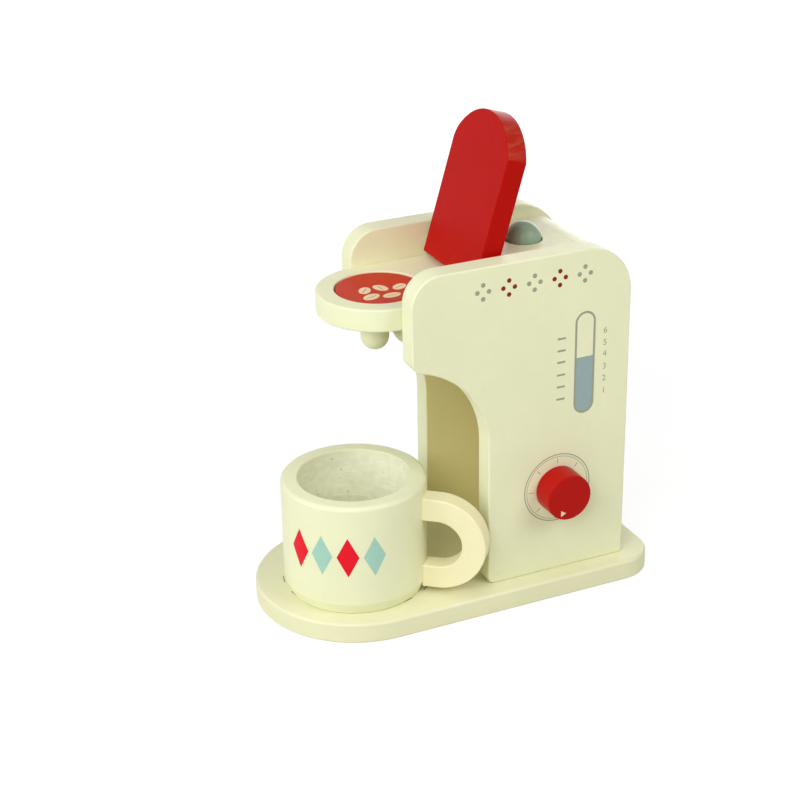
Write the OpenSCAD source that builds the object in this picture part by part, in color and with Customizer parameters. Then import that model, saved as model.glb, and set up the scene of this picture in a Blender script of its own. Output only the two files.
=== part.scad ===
// Toy coffee maker in painted wood. Two side panels stand on a round-nosed base and hold a brewing
// tray with a loose coffee disc, a hinged lid, a start button and a turning dial. A mug stands
// under the spouts. Front is -Y, the dial is on the +X panel, and the origin is the middle of the
// base's underside.

/* [Base] */
// Width of the base, and the diameter of its round nose
base_w = 110; // [100:0.5:140]
// Thickness of the base board
base_t = 11.5; // [9:0.5:18]
// Radius of the base's two rear corners
base_rear_r = 20; // [4:1:30]

/* [Side panels] */
// Width over both side panels
body_w = 88; // [80:0.5:98]
// Thickness of the side panels and the back board
board_t = 12; // [9:0.5:16]
// Height of the side panels
panel_h = 180; // [170:1:200]
// Length of the head, front to rear
head_l = 124; // [110:0.5:140]
// Length of the leg under the head, front to rear
leg_l = 81.5; // [70:0.5:95]
// Distance from the panels' rear edge to the base's rear edge
rear_margin = 17.5; // [10:0.5:25]
// Radius of the head's top front corner
panel_front_r = 16; // [6:0.5:24]
// Radius of the head's top rear corner
panel_rear_r = 26.5; // [22:0.5:32]
// Radius of the arch between head and leg
arch_r = 50; // [42:0.5:60]
// Height of the arch's centre above the base
arch_h = 81; // [70:0.5:90]
// Radius of the head's lower front corner
lip_r = 7; // [3:0.5:10]
// Radius of the leg's lower front corner
foot_r = 4; // [1:0.5:8]

/* [Brewing tray] */
// Thickness of the tray board
tray_t = 12; // [11:0.5:16]
// Distance from the top of the panels down to the tray's face
tray_drop = 18.7; // [16:0.1:24]
// Distance from the front of the head back to the centre of the tray's round end
tray_set = 1.7; // [0:0.1:8]
// Radius of the loose coffee disc
disc_r = 22; // [16:0.5:25]
// Thickness of the coffee disc
disc_t = 5; // [3:0.5:6]
// Depth of the disc's top below the tray's face
disc_sink = 0.5; // [0.2:0.1:1]
// Radius of the disc's edges
disc_edge_r = 0.6; // [0.2:0.1:1.2]
// Gap round the disc in its recess
disc_play = 0.6; // [0.3:0.1:1.5]

/* [Spouts] */
// Radius of each spout
spout_r = 7.4; // [5:0.1:8.5]
// Length of each spout below the tray
spout_l = 21.3; // [14:0.1:26]
// Distance between the two spouts
spout_pitch = 18.4; // [17.5:0.1:22]
// Distance from the tray's centre forward to the front spout
spout_set = 2.5; // [0:0.1:6]
// Radius of each spout's tenon
tenon_r = 4; // [2:0.5:5]
// Length of each spout's tenon
tenon_l = 4.5; // [3:0.5:5]

/* [Top block] */
// Height of the top block above the tray
block_h = 12.4; // [12:0.1:16]
// Radius of the rounded rear edge of block and tray
rear_edge_r = 18.6; // [15:0.1:22]

/* [Lid] */
// Gap between the lid and each side panel
lid_side = 2.5; // [2:0.1:5]
// Distance by which the tip of the closed lid passes the tray's tip
lid_over = 0.9; // [0:0.1:4]
// Extra radius of the lid's round end, beyond half the lid's width
lid_bow = 3.6; // [1.5:0.1:8]
// Thickness of the lid
lid_t = 11; // [9.5:0.5:12]
// Angle by which the open lid leans back, in degrees
lid_lean = 16.7; // [12:0.1:22]
// Height of the hinge line above the tray
hinge_h = 7.1; // [7:0.1:8]
// Distance from the front of the head back to the hinge line
hinge_set = 47; // [44:0.5:50]
// Distance from the lid's hinge end to the hinge line
hinge_end = 5.5; // [5:0.1:6]
// Distance from the lid's front face to the hinge line
hinge_face = 5; // [4.5:0.1:5.5]
// Radius of the two long edges at the lid's hinge end
lid_end_r = 2; // [2:0.1:2.5]
// Radius of the hinge pin
pin_r = 2.5; // [2:0.1:3]
// Depth of the hinge pin in each panel
pin_seat = 7; // [4:0.5:8]
// Radius of the two spacers beside the lid
spacer_r = 3.8; // [3.5:0.1:6]

/* [Start button] */
// Radius of the domed button
dome_r = 9.4; // [8.5:0.1:11]
// Depth of the dome's centre below the top of the block
dome_sink = 0.1; // [0:0.1:2.4]
// Height of the straight skirt under the dome
skirt_h = 2; // [1.5:0.1:2.4]
// Travel of the button
button_travel = 3; // [2:0.1:3.2]
// Distance from the panels' rear edge forward to the button
button_from_rear = 39.6; // [36:0.1:44]
// Radius of the button's stem
stem_r = 2.5; // [2:0.1:2.8]
// Thickness of the button spring's wire
spring_wire = 0.8; // [0.6:0.1:0.9]
// Number of turns of the button spring
spring_turns = 5; // [3:1:5]
// Radius of the washer under the stem
button_washer_r = 6; // [4:0.5:9]

/* [Dial] */
// Radius of the dial knob
knob_r = 12.65; // [9:0.05:16]
// Height of the knob's face above the panel
knob_h = 13.9; // [8:0.1:18]
// Radius of the edge of the knob's face
knob_edge_r = 0.8; // [0.2:0.1:2]
// Height of the dial's centre above the base
dial_h = 48.9; // [40:0.1:60]
// Distance from the panels' rear edge forward to the dial's centre
dial_from_rear = 41.1; // [34:0.1:48]
// Radius of the knob's spigot in the panel
spigot_r = 5; // [3.5:0.1:6]
// Radius of the washer behind the panel
dial_washer_r = 8; // [7:0.5:12]

/* [Mug] */
// Outer radius of the mug
mug_r = 38.2; // [36:0.1:39]
// Radius of the mug's hollow
mug_bore_r = 29.5; // [26:0.1:30]
// Height of the mug
mug_h = 62.5; // [58:0.5:68]
// Thickness of the mug's floor
mug_floor = 10; // [6:0.5:14]
// Radius of the mug's outer rim edge
rim_r = 2.4; // [1:0.1:3]
// Height of the taper at the mug's foot
foot_taper_h = 6; // [2:0.5:9]
// Distance by which the foot's taper draws in
foot_taper_in = 2.2; // [1:0.1:3]
// Distance from the base's nose back to the mug's axis
mug_from_nose = 51; // [48:0.5:56]
// Distance from the mug's handle back to the side panel's leg
mug_gap = 1.4; // [0.8:0.1:6]
// Distance of the mug's axis from the middle of the base, towards the dial side
mug_aside = 7.3; // [0:0.1:10]
// Direction of the mug's handle from the +X axis, in degrees
mug_turn = 51; // [30:1:60]
// Thickness of the handle
handle_t = 10.7; // [8:0.1:13]
// Outer radius of the handle's bow
handle_r = 25.9; // [24:0.1:27]
// Radius of the finger hole
finger_r = 13.2; // [10:0.1:14]
// Distance from the mug's axis to the centre of the handle's bow
handle_reach = 45.9; // [43:0.1:48]
// Height of the handle's centre above the base
handle_h = 29.3; // [27:0.1:34]

/* [Dowels and screws] */
// Radius of the glued dowels
dowel_r = 3; // [2:0.5:4]
// Depth of a dowel in a side panel
dowel_panel = 8; // [5:0.5:8]
// Depth of a dowel in a board between the panels
dowel_board = 12; // [6:0.5:16]
// Depth of a dowel in the base board
dowel_base = 7; // [4:0.5:8]
// Depth of a dowel in a panel's lower end
dowel_foot = 12; // [8:0.5:20]
// Distance from a board's end to the middle of its outer dowel
dowel_margin = 14; // [10:0.5:18]
// Radius of a base screw's shank
screw_r = 1.9; // [1.5:0.1:2.5]
// Radius of a base screw's countersunk head
screw_head_r = 4; // [3:0.1:5]
// Length of a base screw
screw_l = 38; // [28:1:60]
// Radius of the small screws of the dial and the button
small_screw_r = 1.4; // [1:0.1:1.6]
// Length of the small screws
small_screw_l = 14; // [8:0.5:20]

/* [Hidden] */
$fn = 96;

cream = [0.90, 0.91, 0.78];
red = [0.73, 0.13, 0.12];
grey_green = [0.55, 0.60, 0.56];
beech = [0.80, 0.66, 0.47];
steel = [0.72, 0.73, 0.74];

// Gaps and overshoots
cut_over = 1;
glue_gap = 0.03;
running_gap = 0.08;
rest_gap = 0.2;
side_gap = 0.2;

// Mug and base: the base is as long as the legs, the mug and their margins need
handle_end = handle_reach + handle_r;
mug_to_leg = mug_gap + handle_end * sin(mug_turn) + handle_t / 2 * cos(mug_turn);
base_l = rear_margin + leg_l + mug_to_leg + mug_from_nose;
mug_y = mug_from_nose - base_l / 2;
mug_z = base_t + rest_gap;
inner_edge_r = 2;
handle_z = base_t + handle_h;
handle_arm = (handle_r + finger_r) / 2;
mug_dowel_in = 6.5;
mug_dowel_out = 9;

// Places, front to rear and bottom to top
base_rear = base_l / 2;
nose_y = base_w / 2 - base_l / 2;
panel_rear = base_rear - rear_margin;
head_front = panel_rear - head_l;
leg_front = panel_rear - leg_l;
panel_top = base_t + panel_h;
inner_x = body_w / 2 - board_t;
arch_y = leg_front - arch_r;
arch_z = base_t + arch_h;
tray_top = panel_top - tray_drop;
tray_under = tray_top - tray_t;
tray_y = head_front + tray_set;
recess_r = disc_r + disc_play;
recess_depth = disc_t + disc_sink;
block_top = tray_top + block_h;
front_spout_y = tray_y - spout_set;
rear_spout_y = front_spout_y + spout_pitch;

// Lid and hinge
hinge_y = head_front + hinge_set;
hinge_z = tray_top + hinge_h;
lid_w = 2 * (inner_x - lid_side);
lid_l = hinge_y - tray_y + inner_x + lid_over + hinge_end;
lid_back = lid_t - hinge_face;
block_front = hinge_y + (lid_back + rest_gap + (block_top - hinge_z) * sin(lid_lean)) / cos(lid_lean);
spacer_t = lid_side - 2 * side_gap;

// Start button
button_y = panel_rear - button_from_rear;
dome_z = block_top - dome_sink;
skirt_z = dome_z - skirt_h;
well_play = 0.6;
well_r = dome_r + well_play;
well_z = skirt_z - button_travel - rest_gap;
stem_z = tray_under - rest_gap;
button_washer_t = 1;
spring_play = 0.7;
spring_end_gap = 0.1;
spring_mid_r = stem_r + spring_play + spring_wire / 2;
spring_pocket_r = spring_mid_r + spring_wire / 2 + spring_play;
spring_low = tray_top + spring_wire / 2 + spring_end_gap;
spring_high = skirt_z - spring_wire / 2 - spring_end_gap;
spring_steps = 8;
wire_sides = 6;

// Dial
dial_y = panel_rear - dial_from_rear;
dial_z = base_t + dial_h;
knob_gap = 0.3;
spigot_end = inner_x - side_gap;
dial_washer_t = 1.2;

// Small screws
small_head_r = 3;
small_head_h = 2;
slot_w = 0.8;
slot_depth = 0.7;
screw_hole_l = small_screw_l + rest_gap;

// Dowels and base screws
recess_rear = tray_y + recess_r;
tray_dowels_y = [recess_rear + dowel_margin, (recess_rear + panel_rear) / 2, panel_rear - dowel_margin];
block_dowels_y = [block_front + dowel_margin, panel_rear - rear_edge_r];
back_dowels_z = [base_t + dowel_margin, (base_t + tray_under) / 2, tray_under - dowel_margin];
foot_dowels_y = [leg_front + dowel_margin, (leg_front + panel_rear) / 2, panel_rear - dowel_margin];
base_screws_y = [for (i = [0, 1]) (foot_dowels_y[i] + foot_dowels_y[i + 1]) / 2];
panel_mid_x = inner_x + board_t / 2;
back_y = panel_rear - board_t / 2;

// ---- helpers ----

// The waste of an outer corner at the origin, for a shape that lies towards +x and +y.
module corner_waste(r) {
    difference() {
        translate([-cut_over, -cut_over]) square(r + cut_over);
        translate([r, r]) circle(r);
    }
}

// Turns a flat shape in y and z into a slab that starts at x and is thick along +X.
module slab_x(x, thick) {
    translate([x, 0, 0]) rotate([90, 0, 90]) linear_extrude(thick) children();
}

// A cylinder along X from x0 to x1.
module rod_x(x0, x1, y, z, r) {
    translate([x0, y, z]) rotate([0, 90, 0]) cylinder(h = x1 - x0, r = r);
}

// A cylinder along Z from z0 to z1.
module rod_z(x, y, z0, z1, r) {
    translate([x, y, z0]) cylinder(h = z1 - z0, r = r);
}

// A disc that stands on the origin, with its lower and upper edges rounded.
module turned_disc(r, h, low_r, high_r) {
    rotate_extrude() difference() {
        square([r, h]);
        if (low_r > 0) translate([r, 0]) rotate(90) corner_waste(low_r);
        if (high_r > 0) translate([r, h]) rotate(180) corner_waste(high_r);
    }
}

// The dowels between the panels and the boards, or their holes when play is the gap round them.
module board_dowel_set(play) {
    places = concat(
        [for (y = tray_dowels_y) [y, tray_top - tray_t / 2]],
        [for (y = block_dowels_y) [y, tray_top + block_h / 2]],
        [for (z = back_dowels_z) [back_y, z]]
    );
    for (p = places) {
        for (side = [-1, 1]) {
            x0 = side * (inner_x - dowel_board - play);
            x1 = side * (inner_x + dowel_panel + play);
            rod_x(min(x0, x1), max(x0, x1), p[0], p[1], dowel_r + play);
        }
    }
}

// The dowels between the base and the panels' feet, or their holes.
module foot_dowel_set(play) {
    for (side = [-1, 1]) {
        for (y = foot_dowels_y) {
            rod_z(side * panel_mid_x, y, base_t - dowel_base - play, base_t + dowel_foot + play,
                dowel_r + play);
        }
    }
}

// The screws driven up through the base into the panels, or their holes.
module base_screw_set(play) {
    for (side = [-1, 1]) {
        for (y = base_screws_y) {
            translate([side * panel_mid_x, y, rest_gap - play]) {
                cylinder(h = screw_l + 2 * play, r = screw_r + play);
                cylinder(h = screw_head_r - screw_r, r1 = screw_head_r + play, r2 = screw_r + play);
            }
        }
    }
}

// A pan-head screw with a slot. Its head's seat is at the origin and its shank runs along +Z.
module small_screw() {
    cylinder(h = small_screw_l, r = small_screw_r);
    difference() {
        translate([0, 0, -small_head_h]) cylinder(h = small_head_h, r = small_head_r);
        translate([-small_head_r - cut_over, -slot_w / 2, -small_head_h - cut_over])
            cube([2 * (small_head_r + cut_over), slot_w, slot_depth + cut_over]);
    }
}

// ---- base and panels ----

module base_outline() {
    translate([0, nose_y]) circle(base_w / 2);
    difference() {
        translate([-base_w / 2, nose_y]) square([base_w, base_l - base_w / 2]);
        translate([base_w / 2, base_rear]) rotate(180) corner_waste(base_rear_r);
        translate([-base_w / 2, base_rear]) rotate(270) corner_waste(base_rear_r);
    }
}

module base_board() {
    color(cream) difference() {
        linear_extrude(base_t) base_outline();
        foot_dowel_set(glue_gap);
        base_screw_set(glue_gap);
        // Countersinks open through the underside
        for (side = [-1, 1]) {
            for (y = base_screws_y) {
                rod_z(side * panel_mid_x, y, -cut_over, rest_gap, screw_head_r + glue_gap);
            }
        }
    }
}

// The sharp lower front corner of the head, outside its rounding arc.
module lip_waste() {
    lip_y = head_front + lip_r;
    lip_z = arch_z + sqrt(pow(arch_r + lip_r, 2) - pow(lip_y - arch_y, 2));
    share = arch_r / (arch_r + lip_r);
    end_y = arch_y + (lip_y - arch_y) * share;
    end_z = arch_z + (lip_z - arch_z) * share;
    low_z = end_z - 2 * lip_r;
    difference() {
        polygon([
            [head_front - cut_over, lip_z],
            [lip_y, lip_z],
            [end_y, end_z],
            [end_y, low_z],
            [head_front - cut_over, low_z]
        ]);
        translate([lip_y, lip_z]) circle(lip_r);
    }
}

module panel_outline() {
    difference() {
        translate([head_front, base_t]) square([head_l, panel_h]);
        translate([head_front - cut_over, base_t - cut_over])
            square([leg_front - head_front + cut_over, arch_h + cut_over]);
        translate([arch_y, arch_z]) circle(arch_r);
        translate([head_front, panel_top]) rotate(270) corner_waste(panel_front_r);
        translate([panel_rear, panel_top]) rotate(180) corner_waste(panel_rear_r);
        translate([leg_front, base_t]) corner_waste(foot_r);
        lip_waste();
    }
}

module side_panel(side) {
    difference() {
        slab_x(side > 0 ? inner_x : -inner_x - board_t, board_t) panel_outline();
        board_dowel_set(glue_gap);
        foot_dowel_set(glue_gap);
        base_screw_set(glue_gap);
        rod_x(-inner_x - pin_seat - glue_gap, inner_x + pin_seat + glue_gap, hinge_y, hinge_z,
            pin_r + glue_gap);
    }
}

module left_side_panel() {
    color(cream) side_panel(-1);
}

module right_side_panel() {
    color(cream) difference() {
        side_panel(1);
        rod_x(inner_x - cut_over, body_w / 2 + cut_over, dial_y, dial_z, spigot_r + running_gap);
    }
}

module back_board() {
    color(cream) difference() {
        translate([-inner_x, panel_rear - board_t, base_t])
            cube([2 * inner_x, board_t, tray_under - base_t]);
        board_dowel_set(glue_gap);
    }
}

// ---- brewing head ----

// The waste behind the rounded rear edge that the top block and the tray share.
module rear_edge_waste() {
    slab_x(-inner_x - cut_over, 2 * (inner_x + cut_over))
        translate([panel_rear, block_top]) rotate(180) corner_waste(rear_edge_r);
}

module brewing_tray() {
    color(cream) difference() {
        translate([0, 0, tray_under]) linear_extrude(tray_t) {
            translate([0, tray_y]) circle(inner_x);
            translate([-inner_x, tray_y]) square([2 * inner_x, panel_rear - tray_y]);
        }
        rear_edge_waste();
        rod_z(0, tray_y, tray_top - recess_depth, tray_top + cut_over, recess_r);
        for (y = [front_spout_y, rear_spout_y]) {
            rod_z(0, y, tray_under - cut_over, tray_under + tenon_l + rest_gap, tenon_r + glue_gap);
        }
        rod_z(0, button_y, tray_under - cut_over, tray_top + cut_over, stem_r + running_gap);
        board_dowel_set(glue_gap);
    }
}

module top_block() {
    color(cream) difference() {
        translate([-inner_x, block_front, tray_top])
            cube([2 * inner_x, panel_rear - block_front, block_h]);
        rear_edge_waste();
        rod_z(0, button_y, well_z, block_top + cut_over, well_r);
        rod_z(0, button_y, tray_top - cut_over, well_z + cut_over, spring_pocket_r);
        board_dowel_set(glue_gap);
    }
}

module spout(y) {
    color(cream) {
        rod_z(0, y, tray_under - spout_l + spout_r, tray_under, spout_r);
        translate([0, y, tray_under - spout_l + spout_r]) sphere(spout_r);
        rod_z(0, y, tray_under, tray_under + tenon_l, tenon_r);
    }
}

module coffee_disc() {
    color(red) translate([0, tray_y, tray_top - recess_depth + rest_gap])
        turned_disc(disc_r, recess_depth - disc_sink - rest_gap, disc_edge_r, disc_edge_r);
}

// ---- lid and hinge ----

// The lid standing upright with its hinge line at the origin.
// Its sides run up to a bow that is a little flatter than a half round.
module upright_lid() {
    half = lid_w / 2;
    bow_r = half + lid_bow;
    bow_z = lid_l - hinge_end - bow_r;
    difference() {
        translate([0, lid_back, 0]) rotate([90, 0, 0]) linear_extrude(lid_t) intersection() {
            translate([-half, -hinge_end]) square([lid_w, lid_l + cut_over]);
            union() {
                translate([0, bow_z]) circle(bow_r);
                translate([-half - cut_over, -hinge_end - cut_over])
                    square([lid_w + 2 * cut_over, bow_z + hinge_end + cut_over]);
            }
        }
        slab_x(-half - cut_over, lid_w + 2 * cut_over) {
            translate([-hinge_face, -hinge_end]) corner_waste(lid_end_r);
            translate([lid_back, -hinge_end]) rotate(90) corner_waste(lid_end_r);
        }
        rod_x(-half - cut_over, half + cut_over, 0, 0, pin_r + running_gap);
    }
}

module lid() {
    color(red) translate([0, hinge_y, hinge_z]) rotate([-lid_lean, 0, 0]) upright_lid();
}

module lid_hinge_pin() {
    color(beech) rod_x(-inner_x - pin_seat, inner_x + pin_seat, hinge_y, hinge_z, pin_r);
}

module lid_spacers() {
    color(beech) for (side = [-1, 1]) {
        near = side * (lid_w / 2 + side_gap);
        far = side * (lid_w / 2 + side_gap + spacer_t);
        difference() {
            rod_x(min(near, far), max(near, far), hinge_y, hinge_z, spacer_r);
            rod_x(min(near, far) - cut_over, max(near, far) + cut_over, hinge_y, hinge_z,
                pin_r + running_gap);
        }
    }
}

// ---- start button ----

module start_button() {
    color(grey_green) translate([0, button_y, 0]) difference() {
        union() {
            intersection() {
                translate([0, 0, dome_z]) sphere(dome_r);
                translate([0, 0, dome_z]) cylinder(h = dome_r + cut_over, r = dome_r + cut_over);
            }
            rod_z(0, 0, skirt_z, dome_z, dome_r);
            rod_z(0, 0, stem_z, skirt_z, stem_r);
        }
        rod_z(0, 0, stem_z - cut_over, stem_z + screw_hole_l, small_screw_r + glue_gap);
    }
}

// Middle of the spring's wire after a share of its whole length, from 0 to 1.
function coil_point(share) =
    let (turn = 360 * spring_turns * share)
    [spring_mid_r * cos(turn), spring_mid_r * sin(turn), spring_low + (spring_high - spring_low) * share];

// One corner of the wire's section round that middle.
function wire_point(share, corner) =
    let (turn = 360 * spring_turns * share, around = 360 * corner / wire_sides, r = spring_wire / 2)
    coil_point(share) + [r * cos(around) * cos(turn), r * cos(around) * sin(turn), r * sin(around)];

module button_spring() {
    rings = spring_turns * spring_steps;
    points = [for (ring = [0:rings]) for (corner = [0:wire_sides - 1]) wire_point(ring / rings, corner)];
    walls = [
        for (ring = [0:rings - 1])
        for (corner = [0:wire_sides - 1])
        let (a = ring * wire_sides + corner, b = ring * wire_sides + (corner + 1) % wire_sides)
        for (face = [[a, b, a + wire_sides], [b, b + wire_sides, a + wire_sides]]) face
    ];
    first_end = [for (corner = [wire_sides - 1:-1:0]) corner];
    last_end = [for (corner = [0:wire_sides - 1]) rings * wire_sides + corner];
    color(steel) translate([0, button_y, 0])
        polyhedron(points, concat(walls, [first_end, last_end]));
}

module button_washer() {
    color(steel) translate([0, button_y, 0]) difference() {
        rod_z(0, 0, stem_z - button_washer_t, stem_z, button_washer_r);
        rod_z(0, 0, stem_z - button_washer_t - cut_over, stem_z + cut_over, small_screw_r + glue_gap);
    }
}

module button_screw() {
    color(steel) translate([0, button_y, stem_z - button_washer_t]) small_screw();
}

// ---- dial ----

module dial_knob() {
    color(red) difference() {
        union() {
            translate([body_w / 2 + knob_gap, dial_y, dial_z]) rotate([0, 90, 0])
                turned_disc(knob_r, knob_h - knob_gap, 0, knob_edge_r);
            rod_x(spigot_end, body_w / 2 + knob_gap, dial_y, dial_z, spigot_r);
        }
        rod_x(spigot_end - cut_over, spigot_end + screw_hole_l, dial_y, dial_z,
            small_screw_r + glue_gap);
    }
}

module dial_washer() {
    color(steel) difference() {
        rod_x(spigot_end - dial_washer_t, spigot_end, dial_y, dial_z, dial_washer_r);
        rod_x(spigot_end - dial_washer_t - cut_over, spigot_end + cut_over, dial_y, dial_z,
            small_screw_r + glue_gap);
    }
}

module dial_screw() {
    color(steel) translate([spigot_end - dial_washer_t, dial_y, dial_z])
        rotate([0, 90, 0]) small_screw();
}

// ---- mug ----

// Half of the mug's section: x is the distance from its axis, y the height above its foot.
module mug_section() {
    wall = mug_r - mug_bore_r;
    difference() {
        square([mug_r, mug_h]);
        translate([-cut_over, mug_floor]) square([mug_bore_r + cut_over, mug_h]);
        translate([mug_r, mug_h]) rotate(180) corner_waste(min(rim_r, wall / 2));
        translate([mug_bore_r, mug_h]) rotate(270) corner_waste(min(inner_edge_r, wall / 2));
        polygon([
            [mug_r - foot_taper_in, 0],
            [mug_r, foot_taper_h],
            [mug_r + cut_over, foot_taper_h],
            [mug_r + cut_over, -cut_over],
            [mug_r - foot_taper_in, -cut_over]
        ]);
    }
}

// Places its children in the mug's frame: x runs along the handle and z is height.
module on_mug() {
    translate([mug_aside, mug_y, 0]) rotate([0, 0, mug_turn]) children();
}

module mug_dowel_set(play) {
    for (arm = [-1, 1]) {
        rod_x(mug_r - mug_dowel_in - play, mug_r + mug_dowel_out + play, 0,
            handle_z + arm * handle_arm, dowel_r + play);
    }
}

module mug_body() {
    color(cream) on_mug() difference() {
        translate([0, 0, mug_z]) rotate_extrude() mug_section();
        mug_dowel_set(glue_gap);
    }
}

// A flat D in x and z: straight sides from start to the bow's centre, then a half round.
module bow_outline(r, start) {
    translate([handle_reach, handle_z]) intersection() {
        circle(r);
        translate([0, -r - cut_over]) square(2 * (r + cut_over));
    }
    translate([start, handle_z - r]) square([handle_reach - start, 2 * r]);
}

module mug_handle() {
    start = mug_r - handle_t / 2;
    color(cream) on_mug() difference() {
        translate([0, handle_t / 2, 0]) rotate([90, 0, 0]) linear_extrude(handle_t) difference() {
            bow_outline(handle_r, start);
            bow_outline(finger_r, start - cut_over);
        }
        rod_z(0, 0, mug_z, mug_z + mug_h, mug_r + glue_gap);
        mug_dowel_set(glue_gap);
    }
}

module mug_dowels() {
    color(beech) on_mug() mug_dowel_set(0);
}

// ---- fasteners ----

module board_dowels() {
    color(beech) board_dowel_set(0);
}

module foot_dowels() {
    color(beech) foot_dowel_set(0);
}

module base_screws() {
    color(steel) base_screw_set(0);
}

base_board();
left_side_panel();
right_side_panel();
back_board();
brewing_tray();
top_block();
spout(front_spout_y);  // front_spout
spout(rear_spout_y);  // rear_spout
coffee_disc();
lid();
lid_hinge_pin();
lid_spacers();
start_button();
button_spring();
button_washer();
button_screw();
dial_knob();
dial_washer();
dial_screw();
mug_body();
mug_handle();
mug_dowels();
board_dowels();
foot_dowels();
base_screws();
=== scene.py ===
"""Toy coffee maker in painted wood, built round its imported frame.

All lengths are metres. Front is -Y, the dial is on the +X panel, and the base stands on Z = 0.
"""
import math

import bpy
from mathutils import Matrix, Vector


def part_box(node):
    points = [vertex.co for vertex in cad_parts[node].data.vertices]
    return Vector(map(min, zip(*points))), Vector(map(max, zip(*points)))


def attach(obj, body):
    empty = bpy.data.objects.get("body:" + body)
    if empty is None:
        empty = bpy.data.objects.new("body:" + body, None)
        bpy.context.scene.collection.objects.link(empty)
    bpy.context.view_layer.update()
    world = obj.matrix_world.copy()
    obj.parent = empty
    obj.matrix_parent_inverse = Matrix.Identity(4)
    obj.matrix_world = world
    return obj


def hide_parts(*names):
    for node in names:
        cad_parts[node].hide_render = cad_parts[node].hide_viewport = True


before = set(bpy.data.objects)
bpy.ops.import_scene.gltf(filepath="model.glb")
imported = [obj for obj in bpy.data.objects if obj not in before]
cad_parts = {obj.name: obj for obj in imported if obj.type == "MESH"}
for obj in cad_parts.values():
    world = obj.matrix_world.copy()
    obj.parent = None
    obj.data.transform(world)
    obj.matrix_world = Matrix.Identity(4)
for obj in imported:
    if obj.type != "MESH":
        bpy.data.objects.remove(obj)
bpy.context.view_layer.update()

bl_info = {
    "name": "Toy coffee maker",
    "version": (1, 0, 0),
    "blender": (4, 5, 0),
    "location": "View3D > Sidebar > Coffee maker",
    "description": "Builds a painted wooden toy coffee maker with its mug",
    "category": "Object",
}

MM = 0.001
Z = Vector((0, 0, 1))
SAME = 1e-6  # points nearer than this are one point
MERGE = 2e-6  # vertices nearer than this are merged
RIM_PLAY = 1e-5  # how far a cut rim may lie from its circle
CHORD, SMALL_CHORD, SMALL_ARC = 4, 11, 5 * MM  # degrees of an arc's chord, and of a small arc's
SANDED = math.radians(40)  # edges sharper than this are sanded
CREASED = math.radians(32)  # edges sharper than this are shaded as creases
BROKEN = 0.3 * MM  # radius of an edge that is only broken
QUARTER = math.pi / 2
WHITE = (1, 1, 1, 1)


def span(node):
    """Lowest and highest corner of a node of the frame."""
    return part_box(node)


BASE_LOW, BASE_HIGH = span("base_board")
PANEL_LOW, PANEL_HIGH = span("right_side_panel")
BACK_LOW, BACK_HIGH = span("back_board")
TRAY_LOW, TRAY_HIGH = span("brewing_tray")
BLOCK_LOW, BLOCK_HIGH = span("top_block")
DISC_LOW, DISC_HIGH = span("coffee_disc")
PIN_LOW, PIN_HIGH = span("lid_hinge_pin")
BUTTON_LOW, BUTTON_HIGH = span("start_button")
KNOB_LOW, KNOB_HIGH = span("dial_knob")
MUG_LOW, MUG_HIGH = span("mug_body")
TRAY_Y = (DISC_LOW.y + DISC_HIGH.y) / 2
HINGE = (PIN_LOW + PIN_HIGH) / 2
BUTTON_Y = (BUTTON_LOW.y + BUTTON_HIGH.y) / 2
DIAL = (KNOB_LOW + KNOB_HIGH) / 2
MUG = (MUG_LOW + MUG_HIGH) / 2
MUG_R = MUG_HIGH.x - MUG.x
LID_HALF = span("lid")[1].x


def length(name, description, default):
    """A length that the sidebar shows, given in millimetres."""
    return bpy.props.FloatProperty(
        name=name,
        description=description,
        default=default * MM,
        min=0.0,
        precision=5,
        unit="LENGTH",
    )


def direction(name, description, degrees):
    """An angle that the sidebar shows."""
    return bpy.props.FloatProperty(
        name=name, description=description, default=math.radians(degrees), subtype="ANGLE"
    )


def paint_colour(name, description, default):
    """A colour that the sidebar shows, given as it looks on a screen."""
    return bpy.props.FloatVectorProperty(
        name=name,
        description=description,
        default=[channel / 255 for channel in default],
        min=0.0,
        max=1.0,
        size=3,
        subtype="COLOR_GAMMA",
    )


class BoardSizes(bpy.types.PropertyGroup):
    """Sizes of the base, panels, tray and block."""

    base_rear_r: length("Base rear radius", "Radius of the base's rear corners", 20)
    head_front_r: length("Head front radius", "Radius of the head's top front corner", 16)
    head_rear_r: length("Head rear radius", "Radius of the head's top rear corner", 26.5)
    arch_r: length("Arch radius", "Radius of the arch between head and leg", 50)
    arch_h: length("Arch height", "Height of the arch's centre above the base", 81)
    leg_l: length("Leg length", "Length of the leg, front to rear", 81.5)
    lip_r: length("Lip radius", "Radius of the head's lower front corner", 7)
    foot_r: length("Foot radius", "Radius of the leg's lower front corner", 4)
    recess_r: length("Recess radius", "Radius of the recess for the disc", 22.6)
    recess_depth: length("Recess depth", "Depth of the recess for the disc", 5.5)
    rear_edge_r: length("Rear edge radius", "Radius of the rear edge of block and tray", 18.6)
    well_r: length("Well radius", "Radius of the button's well", 10)
    well_depth: length("Well depth", "Depth of the button's well", 5.3)
    pocket_r: length("Pocket radius", "Radius of the spring's pocket", 4.7)
    panel_soft: length("Panel edge", "Radius of the panels' sanded edges", 0.9)
    back_soft: length("Back edge", "Radius of the back board's sanded edges", 0.6)
    base_soft: length("Base edge", "Radius of the base's sanded edges", 1.6)
    tray_soft: length("Tray edge", "Radius of the tray's sanded edges", 1.1)
    block_soft: length("Block edge", "Radius of the block's sanded edges", 0.8)


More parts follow.
